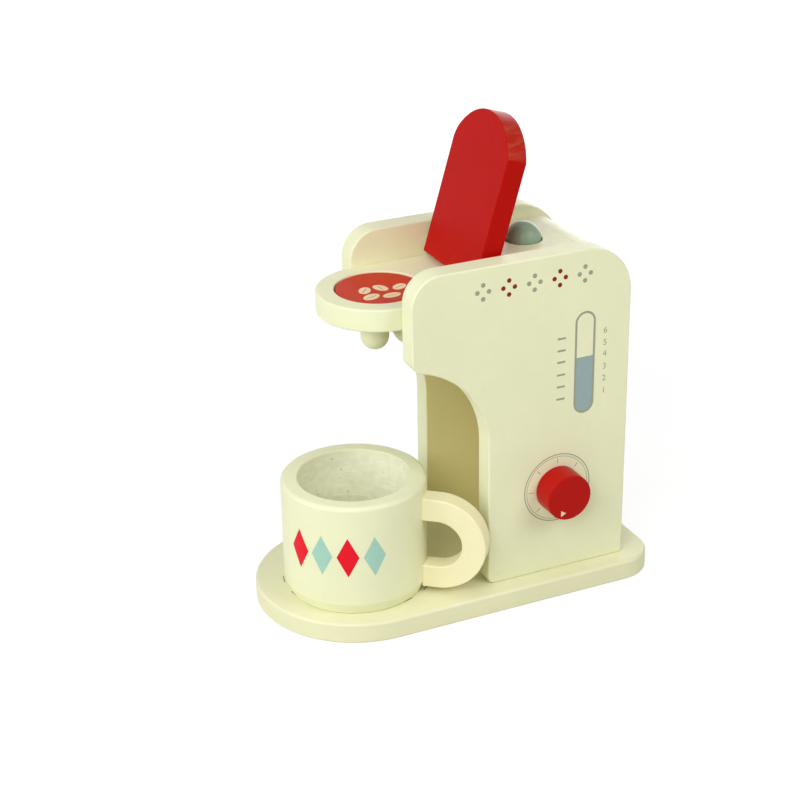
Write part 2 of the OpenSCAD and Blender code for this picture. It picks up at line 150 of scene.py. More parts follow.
class TurnedSizes(bpy.types.PropertyGroup):
    """Sizes of the lid, the turned pieces and the mug."""

    spout_r: length("Spout radius", "Radius of each spout", 7.4)
    spacer_bore_r: length("Spacer bore", "Radius of the bore of lid and spacers", 2.58)
    side_gap: length("Side gap", "Gap between lid and spacer", 0.2)
    lid_t: length("Lid thickness", "Thickness of the lid", 11)
    lid_face: length("Lid face", "Distance from the lid's face to the hinge line", 5)
    lid_end: length("Lid end", "Distance from the lid's lower end to the hinge line", 5.5)
    lid_l: length("Lid length", "Length of the lid", 83.7)
    lid_bow: length("Lid bow", "Extra radius of the round end, beyond half the width", 3.6)
    lid_eased: length("Lid shoulder", "Radius where the left side meets the bow", 15)
    lid_heel_r: length("Lid heel", "Radius of the lower edge of the lid's back", 2)
    lid_toe_r: length("Lid toe", "Radius of the lower edge of the lid's face", 1.05)
    lid_soft: length("Lid edge", "Radius of the lid's sanded edges", 0.55)
    dome_r: length("Button radius", "Radius of the start button", 9.4)
    skirt_h: length("Button skirt", "Height of the skirt under the dome", 2)
    stem_r: length("Stem radius", "Radius of the button's stem", 2.5)
    pilot_r: length("Pilot radius", "Radius of the screws' holes", 1.43)
    pilot_l: length("Pilot depth", "Depth of the screws' holes", 14)
    knob_r: length("Knob radius", "Radius of the dial knob", 12.65)
    knob_edge_r: length("Knob edge", "Radius of the edge of the knob's face", 0.8)
    spigot_r: length("Spigot radius", "Radius of the knob's spigot", 5)
    mug_bore_r: length("Mug bore", "Radius of the mug's hollow", 29.5)
    mug_floor: length("Mug floor", "Thickness of the mug's floor", 10)
    rim_r: length("Rim radius", "Radius of the mug's outer rim edge", 2.4)
    rim_inner_r: length("Inner rim radius", "Radius of the mug's inner rim edge", 0.9)
    foot_h: length("Foot height", "Height of the taper at the mug's foot", 6)
    foot_in: length("Foot draw", "Distance by which the foot draws in", 2.2)
    handle_t: length("Handle thickness", "Thickness of the handle", 10.7)
    handle_r: length("Handle radius", "Outer radius of the handle's bow", 25.9)
    handle_soft: length("Handle edge", "Radius of the handle's sanded edges", 0.75)
    finger_r: length("Finger radius", "Radius of the finger hole", 13.2)
    handle_reach: length("Handle reach", "Distance from mug axis to bow centre", 45.9)
    handle_z: length("Handle height", "Height of the bow's centre", 40.8)
    handle_turn: direction("Handle direction", "Direction of the handle from +X", 51)
    lid_lean: direction("Lid lean", "Angle by which the open lid leans back", 16.7)


class PrintSizes(bpy.types.PropertyGroup):
    """Sizes of what is printed on the paint."""

    ink_t: length("Ink thickness", "Height of the print above the paint", 0.03)
    dot_r: length("Dot radius", "Radius of each printed dot", 1.25)
    dot_pitch: length("Dot group pitch", "Distance between the groups of dots", 14.4)
    gauge_line: length("Gauge line", "Width of the gauge's outline", 1.2)
    digit_h: length("Digit height", "Height of the gauge's numbers", 3.3)
    scale_r: length("Dial scale radius", "Radius of the ring round the dial", 19.6)
    diamond_w: length("Diamond half width", "Half the width of a diamond", 5.9)
    diamond_h: length("Diamond half height", "Half the height of a diamond", 11.3)
    mark_r: length("Place mark radius", "Radius of the dashed ring under the mug", 40.5)


class Finishes(bpy.types.PropertyGroup):
    """Colours of paints, wood, steel and inks."""

    cream: paint_colour("Cream paint", "Paint of the boards and the mug", (238, 240, 202))
    # Painted shade: the base's cream is a darker, warmer copy of the boards' cream, for the lower
    # light on the base
    shaded_base_cream: paint_colour("Base cream", "Paint of the base board", (235, 234, 196))
    # Painted shade: a yellower cream that stands in for the warm bounced light in the shade between
    # the panels
    bounce_shade_cream: paint_colour("Inner cream", "Cream paint between the panels", (247, 237, 178))
    warm_cream: paint_colour("Warm cream", "Paint of the mug's handle", (250, 243, 200))
    mug_inside: paint_colour("Mug inside", "Thin paint inside the mug", (245, 246, 220))
    red: paint_colour("Red paint", "Paint of lid and dial", (182, 14, 8))
    disc_red: paint_colour("Disc red", "Paint of the coffee disc", (200, 53, 25))
    sage: paint_colour("Sage paint", "Paint of the start button", (144, 168, 142))
    beech: paint_colour("Beech", "Bare wood", (206, 172, 126))
    steel: paint_colour("Steel", "Zinc-plated steel", (196, 196, 198))
    grey_ink: paint_colour("Grey ink", "Ink of the gauge's water", (154, 175, 176))
    line_ink: paint_colour("Line ink", "Ink of dots, lines, numbers and dashes", (157, 165, 142))
    red_ink: paint_colour("Red ink", "Ink of the red diamonds", (232, 10, 37))
    dot_ink: paint_colour("Dot ink", "Ink of the red dots", (138, 28, 26))
    blue_ink: paint_colour("Blue ink", "Ink of the light blue diamonds", (166, 210, 195))
    cream_ink: paint_colour("Cream ink", "Ink of the beans and the marker", (240, 222, 184))


# ---- workshop: how pieces are drawn, turned, cut and rounded ----


def put_down():
    """Leaves edit mode and deselects everything."""
    if bpy.context.object and bpy.context.object.mode != "OBJECT":
        bpy.ops.object.mode_set(mode="OBJECT")
    bpy.ops.object.select_all(action="DESELECT")


def pick_up(piece):
    """Makes a piece the only selected and the active object."""
    put_down()
    piece.select_set(True)
    bpy.context.view_layer.objects.active = piece
    return piece


def open_up(piece, kind=None):
    """Edits all of a piece, by its vertices, edges or faces."""
    pick_up(piece)
    if kind:
        kinds = ("VERTEX", "EDGE", "FACE")
        bpy.context.tool_settings.mesh_select_mode = [kind == each for each in kinds]
    bpy.ops.object.mode_set(mode="EDIT")
    bpy.ops.mesh.select_all(action="SELECT")
    return piece


def close_up(piece):
    """Leaves edit mode."""
    bpy.ops.object.mode_set(mode="OBJECT")
    return piece


def added(name):
    """The object that was just added, under its name."""
    piece = bpy.context.object
    piece.name = piece.data.name = name
    return piece


def settle(piece):
    """Writes the object's place, turn and scale into its mesh."""
    pick_up(piece)
    bpy.ops.object.transform_apply(location=True, rotation=True, scale=True)
    return piece


def place(piece, at=(0, 0, 0), turn=(0, 0, 0)):
    """Turns a piece about the origin, moves it, and settles it there."""
    piece.rotation_euler = turn
    piece.location = at
    return settle(piece)


def block(name, low, high):
    """A board blank between two corners."""
    low, high = Vector(low), Vector(high)
    put_down()
    bpy.ops.mesh.primitive_cube_add(size=1, location=(low + high) / 2)
    piece = added(name)
    piece.scale = high - low
    return settle(piece)


def rod(name, radius, low_z, high_z, y=0, sides=96):
    """An upright rod, used as a cutter."""
    put_down()
    bpy.ops.mesh.primitive_cylinder_add(
        vertices=sides, radius=radius, depth=high_z - low_z, location=(0, y, (low_z + high_z) / 2)
    )
    return settle(added(name))


def heal(piece):
    """Merges doubles and points the faces outwards."""
    open_up(piece)
    bpy.ops.mesh.remove_doubles(threshold=MERGE)
    bpy.ops.mesh.normals_make_consistent(inside=False)
    return close_up(piece)


def parallel(axis, test):
    """Accepts the edges along one axis (0, 1 or 2) with a first end that passes a test."""
    others = [other for other in range(3) if other != axis]
    return lambda a, b: all(abs(a[n] - b[n]) < SAME for n in others) and test(a)


def round_over(piece, wanted, radius, steps):
    """Rounds the edges whose two ends wanted() accepts."""
    pick_up(piece)
    mesh = piece.data
    bpy.context.tool_settings.mesh_select_mode = (False, True, False)
    for group in (mesh.vertices, mesh.edges, mesh.polygons):
        group.foreach_set("select", [False] * len(group))
    chosen = [e for e in mesh.edges if wanted(*(mesh.vertices[v].co for v in e.vertices))]
    if not chosen:
        raise RuntimeError(f"{piece.name}: no edge was found to round")
    for edge in chosen:
        edge.select = True
    bpy.ops.object.mode_set(mode="EDIT")
    bpy.ops.mesh.bevel(
        offset=radius, segments=steps, affect="EDGES", offset_type="OFFSET", clamp_overlap=False
    )
    return heal(close_up(piece))


def arc_steps(turn, radius):
    """Number of chords in an arc, close enough to look round."""
    chord = SMALL_CHORD if radius < SMALL_ARC else CHORD
    return max(3, math.ceil(turn / math.radians(chord)))


def at_x(x):
    """Makes points at one x from their y and z."""
    return lambda y, z: Vector((x, y, z))


def at_front(x, z):
    """A point in the plane y = 0."""
    return Vector((x, 0, z))


def draw(name, start, moves):
    """Draws a line. A move is a point, or (centre, point) for an arc of less than a half turn."""
    put_down()
    here = Vector(start)
    bpy.ops.mesh.primitive_plane_add(size=MM, location=here)
    piece = open_up(settle(added(name)), "VERTEX")
    bpy.ops.mesh.merge(type="CENTER")
    for move in moves:
        if isinstance(move, Vector):
            bpy.ops.mesh.extrude_region_move(TRANSFORM_OT_translate={"value": move - here})
            here = move
            continue
        centre, end = move
        before, after = here - centre, end - centre
        turn = before.angle(after)
        bpy.ops.mesh.spin(
            steps=arc_steps(turn, before.length),
            angle=-turn,
            center=centre,
            axis=before.cross(after).normalized(),
        )
        here = end
    close_up(piece)
    if min((v.co - here).length for v in piece.data.vertices) > SAME:
        raise RuntimeError(f"{name}: the outline doesn't end where it should")
    return piece


def filled(name, start, moves):
    """A flat shape inside a drawn outline."""
    piece = open_up(draw(name, start, moves))
    bpy.ops.mesh.remove_doubles(threshold=MERGE)
    bpy.ops.mesh.edge_face_add()
    return close_up(piece)


def thicken(piece, by):
    """Gives a flat shape its thickness, along a vector."""
    open_up(piece)
    bpy.ops.mesh.extrude_region_move(TRANSFORM_OT_translate={"value": Vector(by)})
    return heal(close_up(piece))


def turned(name, start, moves, rounds=96):
    """Turns a profile of points and arcs in x and z about the Z axis, as on a lathe."""
    profile = [
        tuple(at_front(*p) for p in move) if isinstance(move[0], tuple) else at_front(*move)
        for move in moves
    ]
    piece = open_up(draw(name, at_front(*start), profile))
    bpy.ops.mesh.spin(steps=rounds, angle=2 * math.pi, center=(0, 0, 0), axis=Z)
    return heal(close_up(piece))


def eased(x, z, edge, up=True):
    """The two moves of a profile that round its outer corner at x and z."""
    if up:
        return [(x, z - edge), ((x - edge, z - edge), (x - edge, z))]
    return [(x - edge, z), ((x - edge, z + edge), (x, z + edge))]


def shape_with(piece, kind, name, **settings):
    """Adds a modifier to a piece and applies it."""
    pick_up(piece)
    step = piece.modifiers.new(name, kind)
    for key, value in settings.items():
        setattr(step, key, value)
    bpy.ops.object.modifier_apply(modifier=step.name)
    return piece


def cut(piece, tool):
    """Takes a tool's shape out of a piece. The tool is used up."""
    shape_with(piece, "BOOLEAN", "Cut", operation="DIFFERENCE", object=tool, solver="EXACT")
    bpy.data.objects.remove(tool)
    return piece


def drill(piece, radius, low_z, high_z, y, sides=96):
    """Bores an upright hole in the plane x = 0."""
    return cut(piece, rod("drill", radius, low_z, high_z, y, sides))


def soften(piece, width, steps=3):
    """Sands all edges of a piece."""
    return shape_with(
        piece,
        "BEVEL",
        "Sanded edges",
        width=width,
        segments=steps,
        limit_method="ANGLE",
        angle_limit=SANDED,
        miter_outer="MITER_ARC",
    )


def smooth(piece):
    """Shades a piece smooth, with its flat faces kept flat."""
    pick_up(piece)
    bpy.ops.object.shade_smooth_by_angle(angle=CREASED)
    return shape_with(piece, "WEIGHTED_NORMAL", "Flat faces", keep_sharp=True)


def copy_of(piece, name):
    """A copy with its own mesh."""
    twin = piece.copy()
    twin.data = piece.data.copy()
    twin.name = twin.data.name = name
    bpy.context.scene.collection.objects.link(twin)
    return twin


def join(name, pieces):
    """One piece out of several."""
    put_down()
    for piece in pieces:
        piece.select_set(True)
    bpy.context.view_layer.objects.active = pieces[0]
    if len(pieces) > 1:
        bpy.ops.object.join()
    pieces[0].name = pieces[0].data.name = name
    return pieces[0]


def deliver(piece, body, finish_name, *nodes):
    """Gives a piece its shading, finish and body, and hides the nodes that it stands for."""
    slot = FINISHES[finish_name][0]
    if slot:
        smooth(piece)
    piece.data.materials.clear()
    piece.data.materials.append(finish(finish_name))
    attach(piece, body)
    if nodes:
        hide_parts(*nodes)


# ---- finishes ----


def screen_to_linear(colour):
    """A colour as it looks on a screen, in the linear values that shaders take."""
    linear = [c / 12.92 if c <= 0.04045 else ((c + 0.055) / 1.055) ** 2.4 for c in colour]
    return (*linear, 1.0)


def shade_of(colour, factor):
    """A lighter or darker shade of a linear colour."""
    return (*[min(1.0, c * factor) for c in colour[:3]], 1.0)


class Bench:
    """The nodes of a material or a world while they are wired."""

    def __init__(self, owner):
        owner.use_nodes = True
        self.owner = owner
        self.tree = owner.node_tree
        self.where = self.node("TexCoord").outputs["Object"]

    def plug(self, sockets, values):
        """Joins or sets sockets, by their name or number."""
        for key, value in values.items():
            if isinstance(value, bpy.types.NodeSocket):
                self.tree.links.new(value, sockets[key])
            else:
                sockets[key].default_value = value

    def node(self, kind, values=None, **settings):
        """Adds a shader node."""
        made = self.tree.nodes.new("ShaderNode" + kind)
        for key, value in settings.items():
            setattr(made, key, value)
        self.plug(made.inputs, values or {})
        return made

    def mapped(self, scale=(1, 1, 1), location=(0, 0, 0)):
        """Object coordinates, moved and scaled."""
        values = {"Vector": self.where, "Scale": scale, "Location": location}
        return self.node("Mapping", values).outputs["Vector"]

    def noise(self, scale, detail=2.0, roughness=0.5, vector=None, distortion=0.0):
        """Smooth noise from 0 to 1. Scale is in features per metre."""
        values = {"Scale": scale, "Detail": detail, "Roughness": roughness}
        values.update({"Vector": vector or self.where, "Distortion": distortion})
        return self.node("TexNoise", values).outputs["Fac"]

    def specks(self, scale, middle, rim):
        """Scattered round specks, 1 in their middle. Scale is in specks per metre."""
        cells = self.node("TexVoronoi", {"Vector": self.where, "Scale": scale})
        return self.spread(cells.outputs["Distance"], middle, rim, 1.0, 0.0)

    def spread(self, value, low, high, to_low=0.0, to_high=1.0):
        """Spreads a value from one range to another, and holds it there."""
        values = {0: value, 1: low, 2: high, 3: to_low, 4: to_high}
        return self.node("MapRange", values).outputs["Result"]

    def sum(self, how, *terms):
        """One arithmetic step."""
        return self.node("Math", dict(enumerate(terms)), operation=how).outputs[0]

    def times(self, first, second):
        """The product of two values."""
        return self.sum("MULTIPLY", first, second)

    def vector(self, how, *terms):
        """One step with vectors. Lengths and dot products come out as a value."""
        made = self.node("VectorMath", dict(enumerate(terms)), operation=how)
        return made.outputs["Vector" if how == "MULTIPLY" else "Value"]

    def mix(self, share, first, second, blend="MIX"):
        """Mixes two colours."""
        values = {0: share, 6: first, 7: second}
        made = self.node("Mix", values, data_type="RGBA", blend_type=blend)
        return made.outputs[2]

    def layer(self, tone, share, colour, factor):
        """Lays a shade of a colour over a tone."""
        return self.mix(share, tone, shade_of(colour, factor))

    def cloudy(self, value, low, high, colour, dark, light):
        """Two shades of a colour, blended by a value."""
        return self.layer(shade_of(colour, dark), self.spread(value, low, high), colour, light)

    def edges(self, radius):
        """How near a sanded edge a point is, from 0 to 1."""
        rounded = self.node("Bevel", {"Radius": radius}, samples=4).outputs["Normal"]
        flat = self.node("NewGeometry").outputs["Normal"]
        return self.spread(self.vector("DOT_PRODUCT", rounded, flat), 0.995, 0.86)

    def bump(self, height, distance, strength=1.0, over=None):
        """Raises the surface by a height from 0 to 1."""
        values = {"Height": height, "Distance": distance, "Strength": strength}
        if over is not None:
            values["Normal"] = over
        return self.node("Bump", values).outputs["Normal"]

    def use(self, **inputs):
        """Joins or sets the shader's own inputs. Underscores stand for spaces."""
        named = {key.replace("_", " "): value for key, value in inputs.items()}
        self.plug(self.tree.nodes["Principled BSDF"].inputs, named)
        return self.owner

    def show(self, output, soft, white):
        """Shows the white shader to the camera and in gloss, and the soft one to the rest."""
        path = self.node("LightPath").outputs
        seen = self.sum("MAXIMUM", path["Is Camera Ray"], path["Is Glossy Ray"])
        seen = self.sum("MAXIMUM", seen, path["Is Transmission Ray"])
        values = {0: seen, 1: soft.outputs[0], 2: white.outputs[0]}
        both = self.node("MixShader", values).outputs[0]
        self.tree.links.new(both, self.tree.nodes[output].inputs["Surface"])


def base_coat(bench, paint, cloud_scale, mottle):
    """Even paint with faint clouds and mottling."""
    tone = bench.cloudy(bench.noise(cloud_scale, 3.0), 0.3, 0.7, paint, 0.975, 1.02)
    return bench.layer(tone, bench.spread(mottle, 0.35, 0.75, 0.0, 0.35), paint, 0.955)


def painted_wood(
    bench, paint, grain, gloss=0.42, worn=0.35, body=1.0, shine=0.3, thin=None, yellow=None
):
    """Sprayed paint over sanded wood: faint grain, fine orange peel and dust nibs; its edges are
    rubbed rougher, and patches of painted shade darken them.

    Where thin(bench) is 1, the wood's end grain shows through. Where yellow(bench) is 1,
    the coat is painted yellower, as painted shade from light bounced between the cream panels.
    """
    colours = bpy.context.scene.coffee_maker_finishes
    fibres = bench.noise(900.0, 4.0, 0.55, bench.mapped(scale=grain), 0.3)
    mottle = bench.noise(160.0, 3.0, 0.6)
    peel = bench.noise(1500.0)
    tone = base_coat(bench, paint, 28.0, mottle)
    tone = bench.layer(tone, bench.spread(fibres, 0.55, 0.8, 0.0, 0.22 * body), paint, 0.93)
    patches = bench.spread(bench.noise(210.0, 4.0, 0.62), 0.45, 0.68)
    # Near the sanded edges the paint is rubbed rougher, and patches of painted shade darken it
    wear_and_edge_shade = bench.times(bench.edges(1.4 * MM), patches)
    tone = bench.layer(tone, bench.times(wear_and_edge_shade, worn), paint, 0.80)
    nibs = bench.specks(95.0, 0.035, 0.06)
    tone = bench.layer(tone, bench.times(nibs, 0.25), paint, 0.72)
    # Painted shade: between the panels and under the tray the cream is tinted yellower, as bounced
    # light looks there
    if yellow:
        inner = screen_to_linear(colours.bounce_shade_cream)
        ratio = (*[a / b for a, b in zip(inner[:3], paint[:3])], 1.0)
        tone = bench.mix(yellow(bench), tone, bench.mix(1.0, tone, ratio, "MULTIPLY"))
    if thin:
        ends = bench.noise(520.0, 3.0, 0.6, bench.mapped(scale=(0.35, 0.12, 1)))
        showing = bench.times(thin(bench), bench.spread(ends, 0.45, 0.8, 0.03, 0.2))
        tone = bench.mix(showing, tone, screen_to_linear(colours.beech))
    rough = bench.spread(mottle, 0.3, 0.75, gloss - 0.05, gloss + 0.06)
    rough = bench.sum("ADD", rough, bench.times(wear_and_edge_shade, 0.12))
    surface = bench.bump(fibres, 0.05 * MM, 0.30 * body)
    surface = bench.bump(peel, 0.02 * MM, 0.25, surface)
    surface = bench.bump(nibs, 0.06 * MM, 0.5, surface)
    return bench.use(
        Base_Color=tone, Roughness=rough, Normal=surface, IOR=1.46, Specular_IOR_Level=shine
    )


def painted_shade_between_panels(bench):
    """The faces between the panels and under the tray, where the shade is painted in as a yellower
    cream.
    """
    at = bench.node("SeparateXYZ", {0: bench.where}).outputs
    across, inner = bench.sum("ABSOLUTE", at["X"]), PANEL_LOW.x
    between = bench.spread(across, inner + 0.1 * MM, inner + 0.4 * MM, 1.0, 0.0)
    under = bench.spread(at["Z"], TRAY_LOW.z - 3 * MM, TRAY_LOW.z, 1.0, 0.0)
    before = bench.spread(at["Y"], BACK_HIGH.y - 2 * MM, BACK_HIGH.y - MM, 1.0, 0.0)
    return bench.times(bench.times(between, under), before)


def round_end(bench):
    """The side of the lid's round end, where the end grain takes the paint up."""
    sizes = bpy.context.scene.coffee_maker_turned
    along = Vector((0, math.sin(sizes.lid_lean), math.cos(sizes.lid_lean)))
    facing = Vector((0, -along.z, along.y))
    start = HINGE.dot(along) + lid_bow(sizes)[1]
    normal = bench.node("TexCoord").outputs["Normal"]
    turned_away = bench.sum("ABSOLUTE", bench.vector("DOT_PRODUCT", normal, facing))
    reach = bench.vector("DOT_PRODUCT", bench.where, along)
    side = bench.spread(turned_away, 0.6, 0.3)
    return bench.times(side, bench.spread(reach, start, start + 0.4 * MM))


def mug_paint(bench, paint):
    """Mug paint: smooth outside, and thin, rough and pitted inside the hollow."""
    raw = screen_to_linear(bpy.context.scene.coffee_maker_finishes.mug_inside)
    centred = bench.mapped(location=(-MUG.x, -MUG.y, 0))
    radius = bench.vector("LENGTH", bench.vector("MULTIPLY", centred, (1, 1, 0)))
    height = bench.node("SeparateXYZ", {0: bench.where}).outputs["Z"]
    drip = bench.spread(bench.noise(90.0), 0, 1, -0.35 * MM, 0.35 * MM)
    brim = MUG_HIGH.z
    hollow = bench.spread(bench.sum("ADD", height, drip), brim - MM, brim - 1.45 * MM)
    hollow = bench.times(hollow, bench.spread(radius, 30.6 * MM, 30.2 * MM))
    hollow = bench.times(hollow, bench.spread(height, 13 * MM, 16 * MM))
    mottle = bench.noise(160.0, 3.0, 0.6)
    chatter = bench.noise(420.0, 3.0, 0.55, bench.mapped(scale=(0.1, 0.1, 1)))
    streaks = bench.noise(210.0, 4.0, 0.6, bench.mapped(scale=(0.25, 0.25, 1.6)))
    streaks = bench.spread(streaks, 0.58, 0.66)
    pits = bench.specks(150.0, 0.05, 0.10)
    inside = bench.cloudy(bench.noise(260.0, 3.0), 0.32, 0.7, raw, 0.93, 1.03)
    inside = bench.layer(inside, bench.times(streaks, 0.6), raw, 1.14)
    inside = bench.layer(inside, bench.times(pits, 0.6), raw, 0.45)
    tone = bench.mix(hollow, base_coat(bench, paint, 30.0, mottle), inside)
    rough = bench.spread(hollow, 0.0, 1.0, bench.spread(mottle, 0.3, 0.75, 0.36, 0.46), 0.85)
    relief = bench.sum("ADD", streaks, bench.times(chatter, 0.5))
    relief = bench.times(bench.sum("SUBTRACT", relief, pits), hollow)
    surface = bench.bump(bench.noise(1300.0), 0.02 * MM, 0.25, bench.bump(relief, 0.2 * MM, 0.7))
    return bench.use(
        Base_Color=tone, Roughness=rough, Normal=surface, IOR=1.46, Specular_IOR_Level=0.3
    )


def ink(bench, dye):
    """Screen-printed ink: slightly uneven, thin at spots."""
    grain = bench.noise(900.0, 3.0, 0.6)
    tone = bench.cloudy(grain, 0.3, 0.75, dye, 0.96, 1.05)
    tone = bench.layer(tone, bench.spread(bench.noise(150.0), 0.4, 0.8, 0.0, 0.4), dye, 0.93)
    rough = bench.spread(grain, 0.3, 0.7, 0.4, 0.55)
    surface = bench.bump(grain, 0.015 * MM, 0.4)
    return bench.use(Base_Color=tone, Roughness=rough, Normal=surface, Specular_IOR_Level=0.2)


def bare_wood(bench, wood):
    """Sanded beech with its flecks."""
    along = bench.mapped(scale=(0.06, 1, 1))
    fibres = bench.noise(1100.0, 5.0, 0.6, along, 0.4)
    flecks = bench.spread(bench.noise(2600.0, vector=along), 0.62, 0.72)
    tone = bench.cloudy(fibres, 0.3, 0.7, wood, 0.82, 1.1)
    tone = bench.layer(tone, bench.times(flecks, 0.6), wood, 0.6)
    rough = bench.spread(fibres, 0.3, 0.7, 0.55, 0.72)
    return bench.use(Base_Color=tone, Roughness=rough, Normal=bench.bump(fibres, 0.08 * MM, 0.5))


def plated_steel(bench, metal, roughness):
    """Zinc-plated steel with fine scratches."""
    scratches = bench.noise(1800.0, 4.0, 0.6, bench.mapped(scale=(1, 0.1, 1)))
    tone = bench.cloudy(bench.noise(260.0, 3.0), 0.3, 0.7, metal, 0.86, 1.08)
    rough = bench.spread(scratches, 0.3, 0.7, roughness - 0.06, roughness + 0.12)
    surface = bench.bump(scratches, 0.02 * MM, 0.4)
    return bench.use(Base_Color=tone, Roughness=rough, Metallic=1.0, Normal=surface)


GRAIN_UP, GRAIN_LEVEL, GRAIN_TURNED = (1, 1, 0.05), (1, 0.05, 1), (1, 1, 0.08)

# Each finish: the record's slot, how it is made, its colour and its other settings
FINISHES = {
    # cream_upright also paints the shade between the panels and under the tray as a yellower cream
    "cream_upright": (
        "cream_paint", painted_wood, "cream", {"grain": GRAIN_UP, "yellow": painted_shade_between_panels}
    ),
    "cream_level": ("cream_paint", painted_wood, "cream", {"grain": GRAIN_LEVEL}),
    # Painted shade: the base takes the darker copy of the cream
    "shaded_cream_base": ("cream_paint", painted_wood, "shaded_base_cream", {"grain": GRAIN_LEVEL}),
    "cream_mug": ("cream_paint", mug_paint, "cream", {}),
    "cream_turned": ("cream_paint", painted_wood, "cream", {"grain": GRAIN_TURNED, "gloss": 0.4}),
    "cream_handle": (
        "cream_paint", painted_wood, "warm_cream", {"grain": GRAIN_TURNED, "gloss": 0.4}
    ),
    "red_lid": (
        "red_paint",
        painted_wood,
        "red",
        {
            "grain": (1, 0.3, 0.05),
            "gloss": 0.38,
            "worn": 0.5,
            "body": 1.6,
            "shine": 0.07,
            "thin": round_end,
        },
    ),
    "red_knob": (
        "red_paint",
        painted_wood,
        "red",
        {"grain": (0.06, 1, 1), "gloss": 0.36, "worn": 0.5, "body": 1.2, "shine": 0.12},
    ),
    "red_disc": (
        "red_paint",
        painted_wood,
        "disc_red",
        {"grain": (1, 0.06, 1), "gloss": 0.4, "worn": 0.4, "shine": 0.09},
    ),
    "sage": (
        "sage_paint", painted_wood, "sage", {"grain": (1, 1, 0.2), "gloss": 0.3, "worn": 0.3}
    ),
    "beech": ("bare_wood", bare_wood, "beech", {}),
    "steel": ("zinc_steel", plated_steel, "steel", {"roughness": 0.28}),
    "spring": ("zinc_steel", plated_steel, "steel", {"roughness": 0.22}),
}
for print_ink in ("grey_ink", "line_ink", "red_ink", "dot_ink", "blue_ink", "cream_ink"):
    FINISHES[print_ink] = (None, ink, print_ink, {})


def finish(name):
    """The finish of that name, made when it is first asked for."""
    ready = bpy.data.materials.get(name)
    if ready:
        return ready
    maker, colour, settings = FINISHES[name][1:]
    colour = getattr(bpy.context.scene.coffee_maker_finishes, colour)
    return maker(Bench(bpy.data.materials.new(name)), screen_to_linear(colour), **settings)


# ---- wooden pieces ----

BORE_PLAY = 0.08 * MM  # how much wider a bore is than what turns or slides in it
CLEAR = 5 * MM  # how far a cutter stands out of what it cuts
ALONG_X = (0, QUARTER, 0)  # lays what was turned about Z down along X


def round_nose(board, radius, steps):
    """Rounds the two upright front edges of a board into a half circle."""
    return round_over(board, parallel(2, lambda p: p.y < 0), radius, steps)


def rim_of(radius, y, z):
    """Accepts the edges of an upright bore's rim."""

    def on_rim(*ends):
        return all(
            abs(Vector((p.x, p.y - y)).length - radius) < RIM_PLAY and abs(p.z - z) < RIM_PLAY
            for p in ends
        )

    return on_rim


def screw_spots():
    """Where the base's screws sit, from the frame."""
    low, high = span("base_screws")
    head_r = 4 * MM
    across, along = (low.x + head_r, high.x - head_r), (low.y + head_r, high.y - head_r)
    return [(x, y) for x in across for y in along]


class COFFEE_OT_base_board(bpy.types.Operator):
    """The round-nosed base with its countersunk screw holes"""

    bl_idname = "coffee_maker.base_board"
    bl_label = "Base board"

    def execute(self, context):
        sizes = context.scene.coffee_maker_boards
        base = block("base_board_painted", BASE_LOW, BASE_HIGH)
        round_nose(base, BASE_HIGH.x, steps=36)
        rear = parallel(2, lambda p: p.y > BASE_HIGH.y - MM)
        round_over(base, rear, sizes.base_rear_r, steps=16)
        soften(base, sizes.base_soft, 4)
        head_r, shank_r, rim, neck, depth = (s * MM for s in (4.03, 1.93, 0.2, 2.3, 6))
        moves = [(head_r, -MM), (head_r, rim), (shank_r, neck), (shank_r, depth), (0, depth)]
        for x, y in screw_spots():
            cut(base, place(turned("countersink", (0, -MM), moves, 40), (x, y, 0)))
        # The base's paint is the darker cream of painted shade
        deliver(base, "machine", "shaded_cream_base", "base_board")
        return {"FINISHED"}


def panel_outline(sizes, x):
    """The side panel's outline as a start and its moves, at one x."""
    front, rear = PANEL_LOW.y, PANEL_HIGH.y
    foot, top = PANEL_LOW.z, PANEL_HIGH.z
    at, leg = at_x(x), rear - sizes.leg_l
    arch_r, lip_r, foot_r = sizes.arch_r, sizes.lip_r, sizes.foot_r
    arch = at(leg - arch_r, foot + sizes.arch_h)
    lip_y = front + lip_r
    lip = at(lip_y, arch.z + math.sqrt((arch_r + lip_r) ** 2 - (lip_y - arch.y) ** 2))
    lip_end = arch + (lip - arch) * arch_r / (arch_r + lip_r)
    back_y, back_z = rear - sizes.head_rear_r, top - sizes.head_rear_r
    brow_y, brow_z = front + sizes.head_front_r, top - sizes.head_front_r
    start = at(leg + foot_r, foot)
    moves = [
        at(rear, foot),
        at(rear, back_z),
        (at(back_y, back_z), at(back_y, top)),
        at(brow_y, top),
        (at(brow_y, brow_z), at(front, brow_z)),
        at(front, lip.z),
        (lip, lip_end),
        (arch, at(leg, arch.z)),
        at(leg, foot + foot_r),
        (at(leg + foot_r, foot + foot_r), start),
    ]
    return start, moves


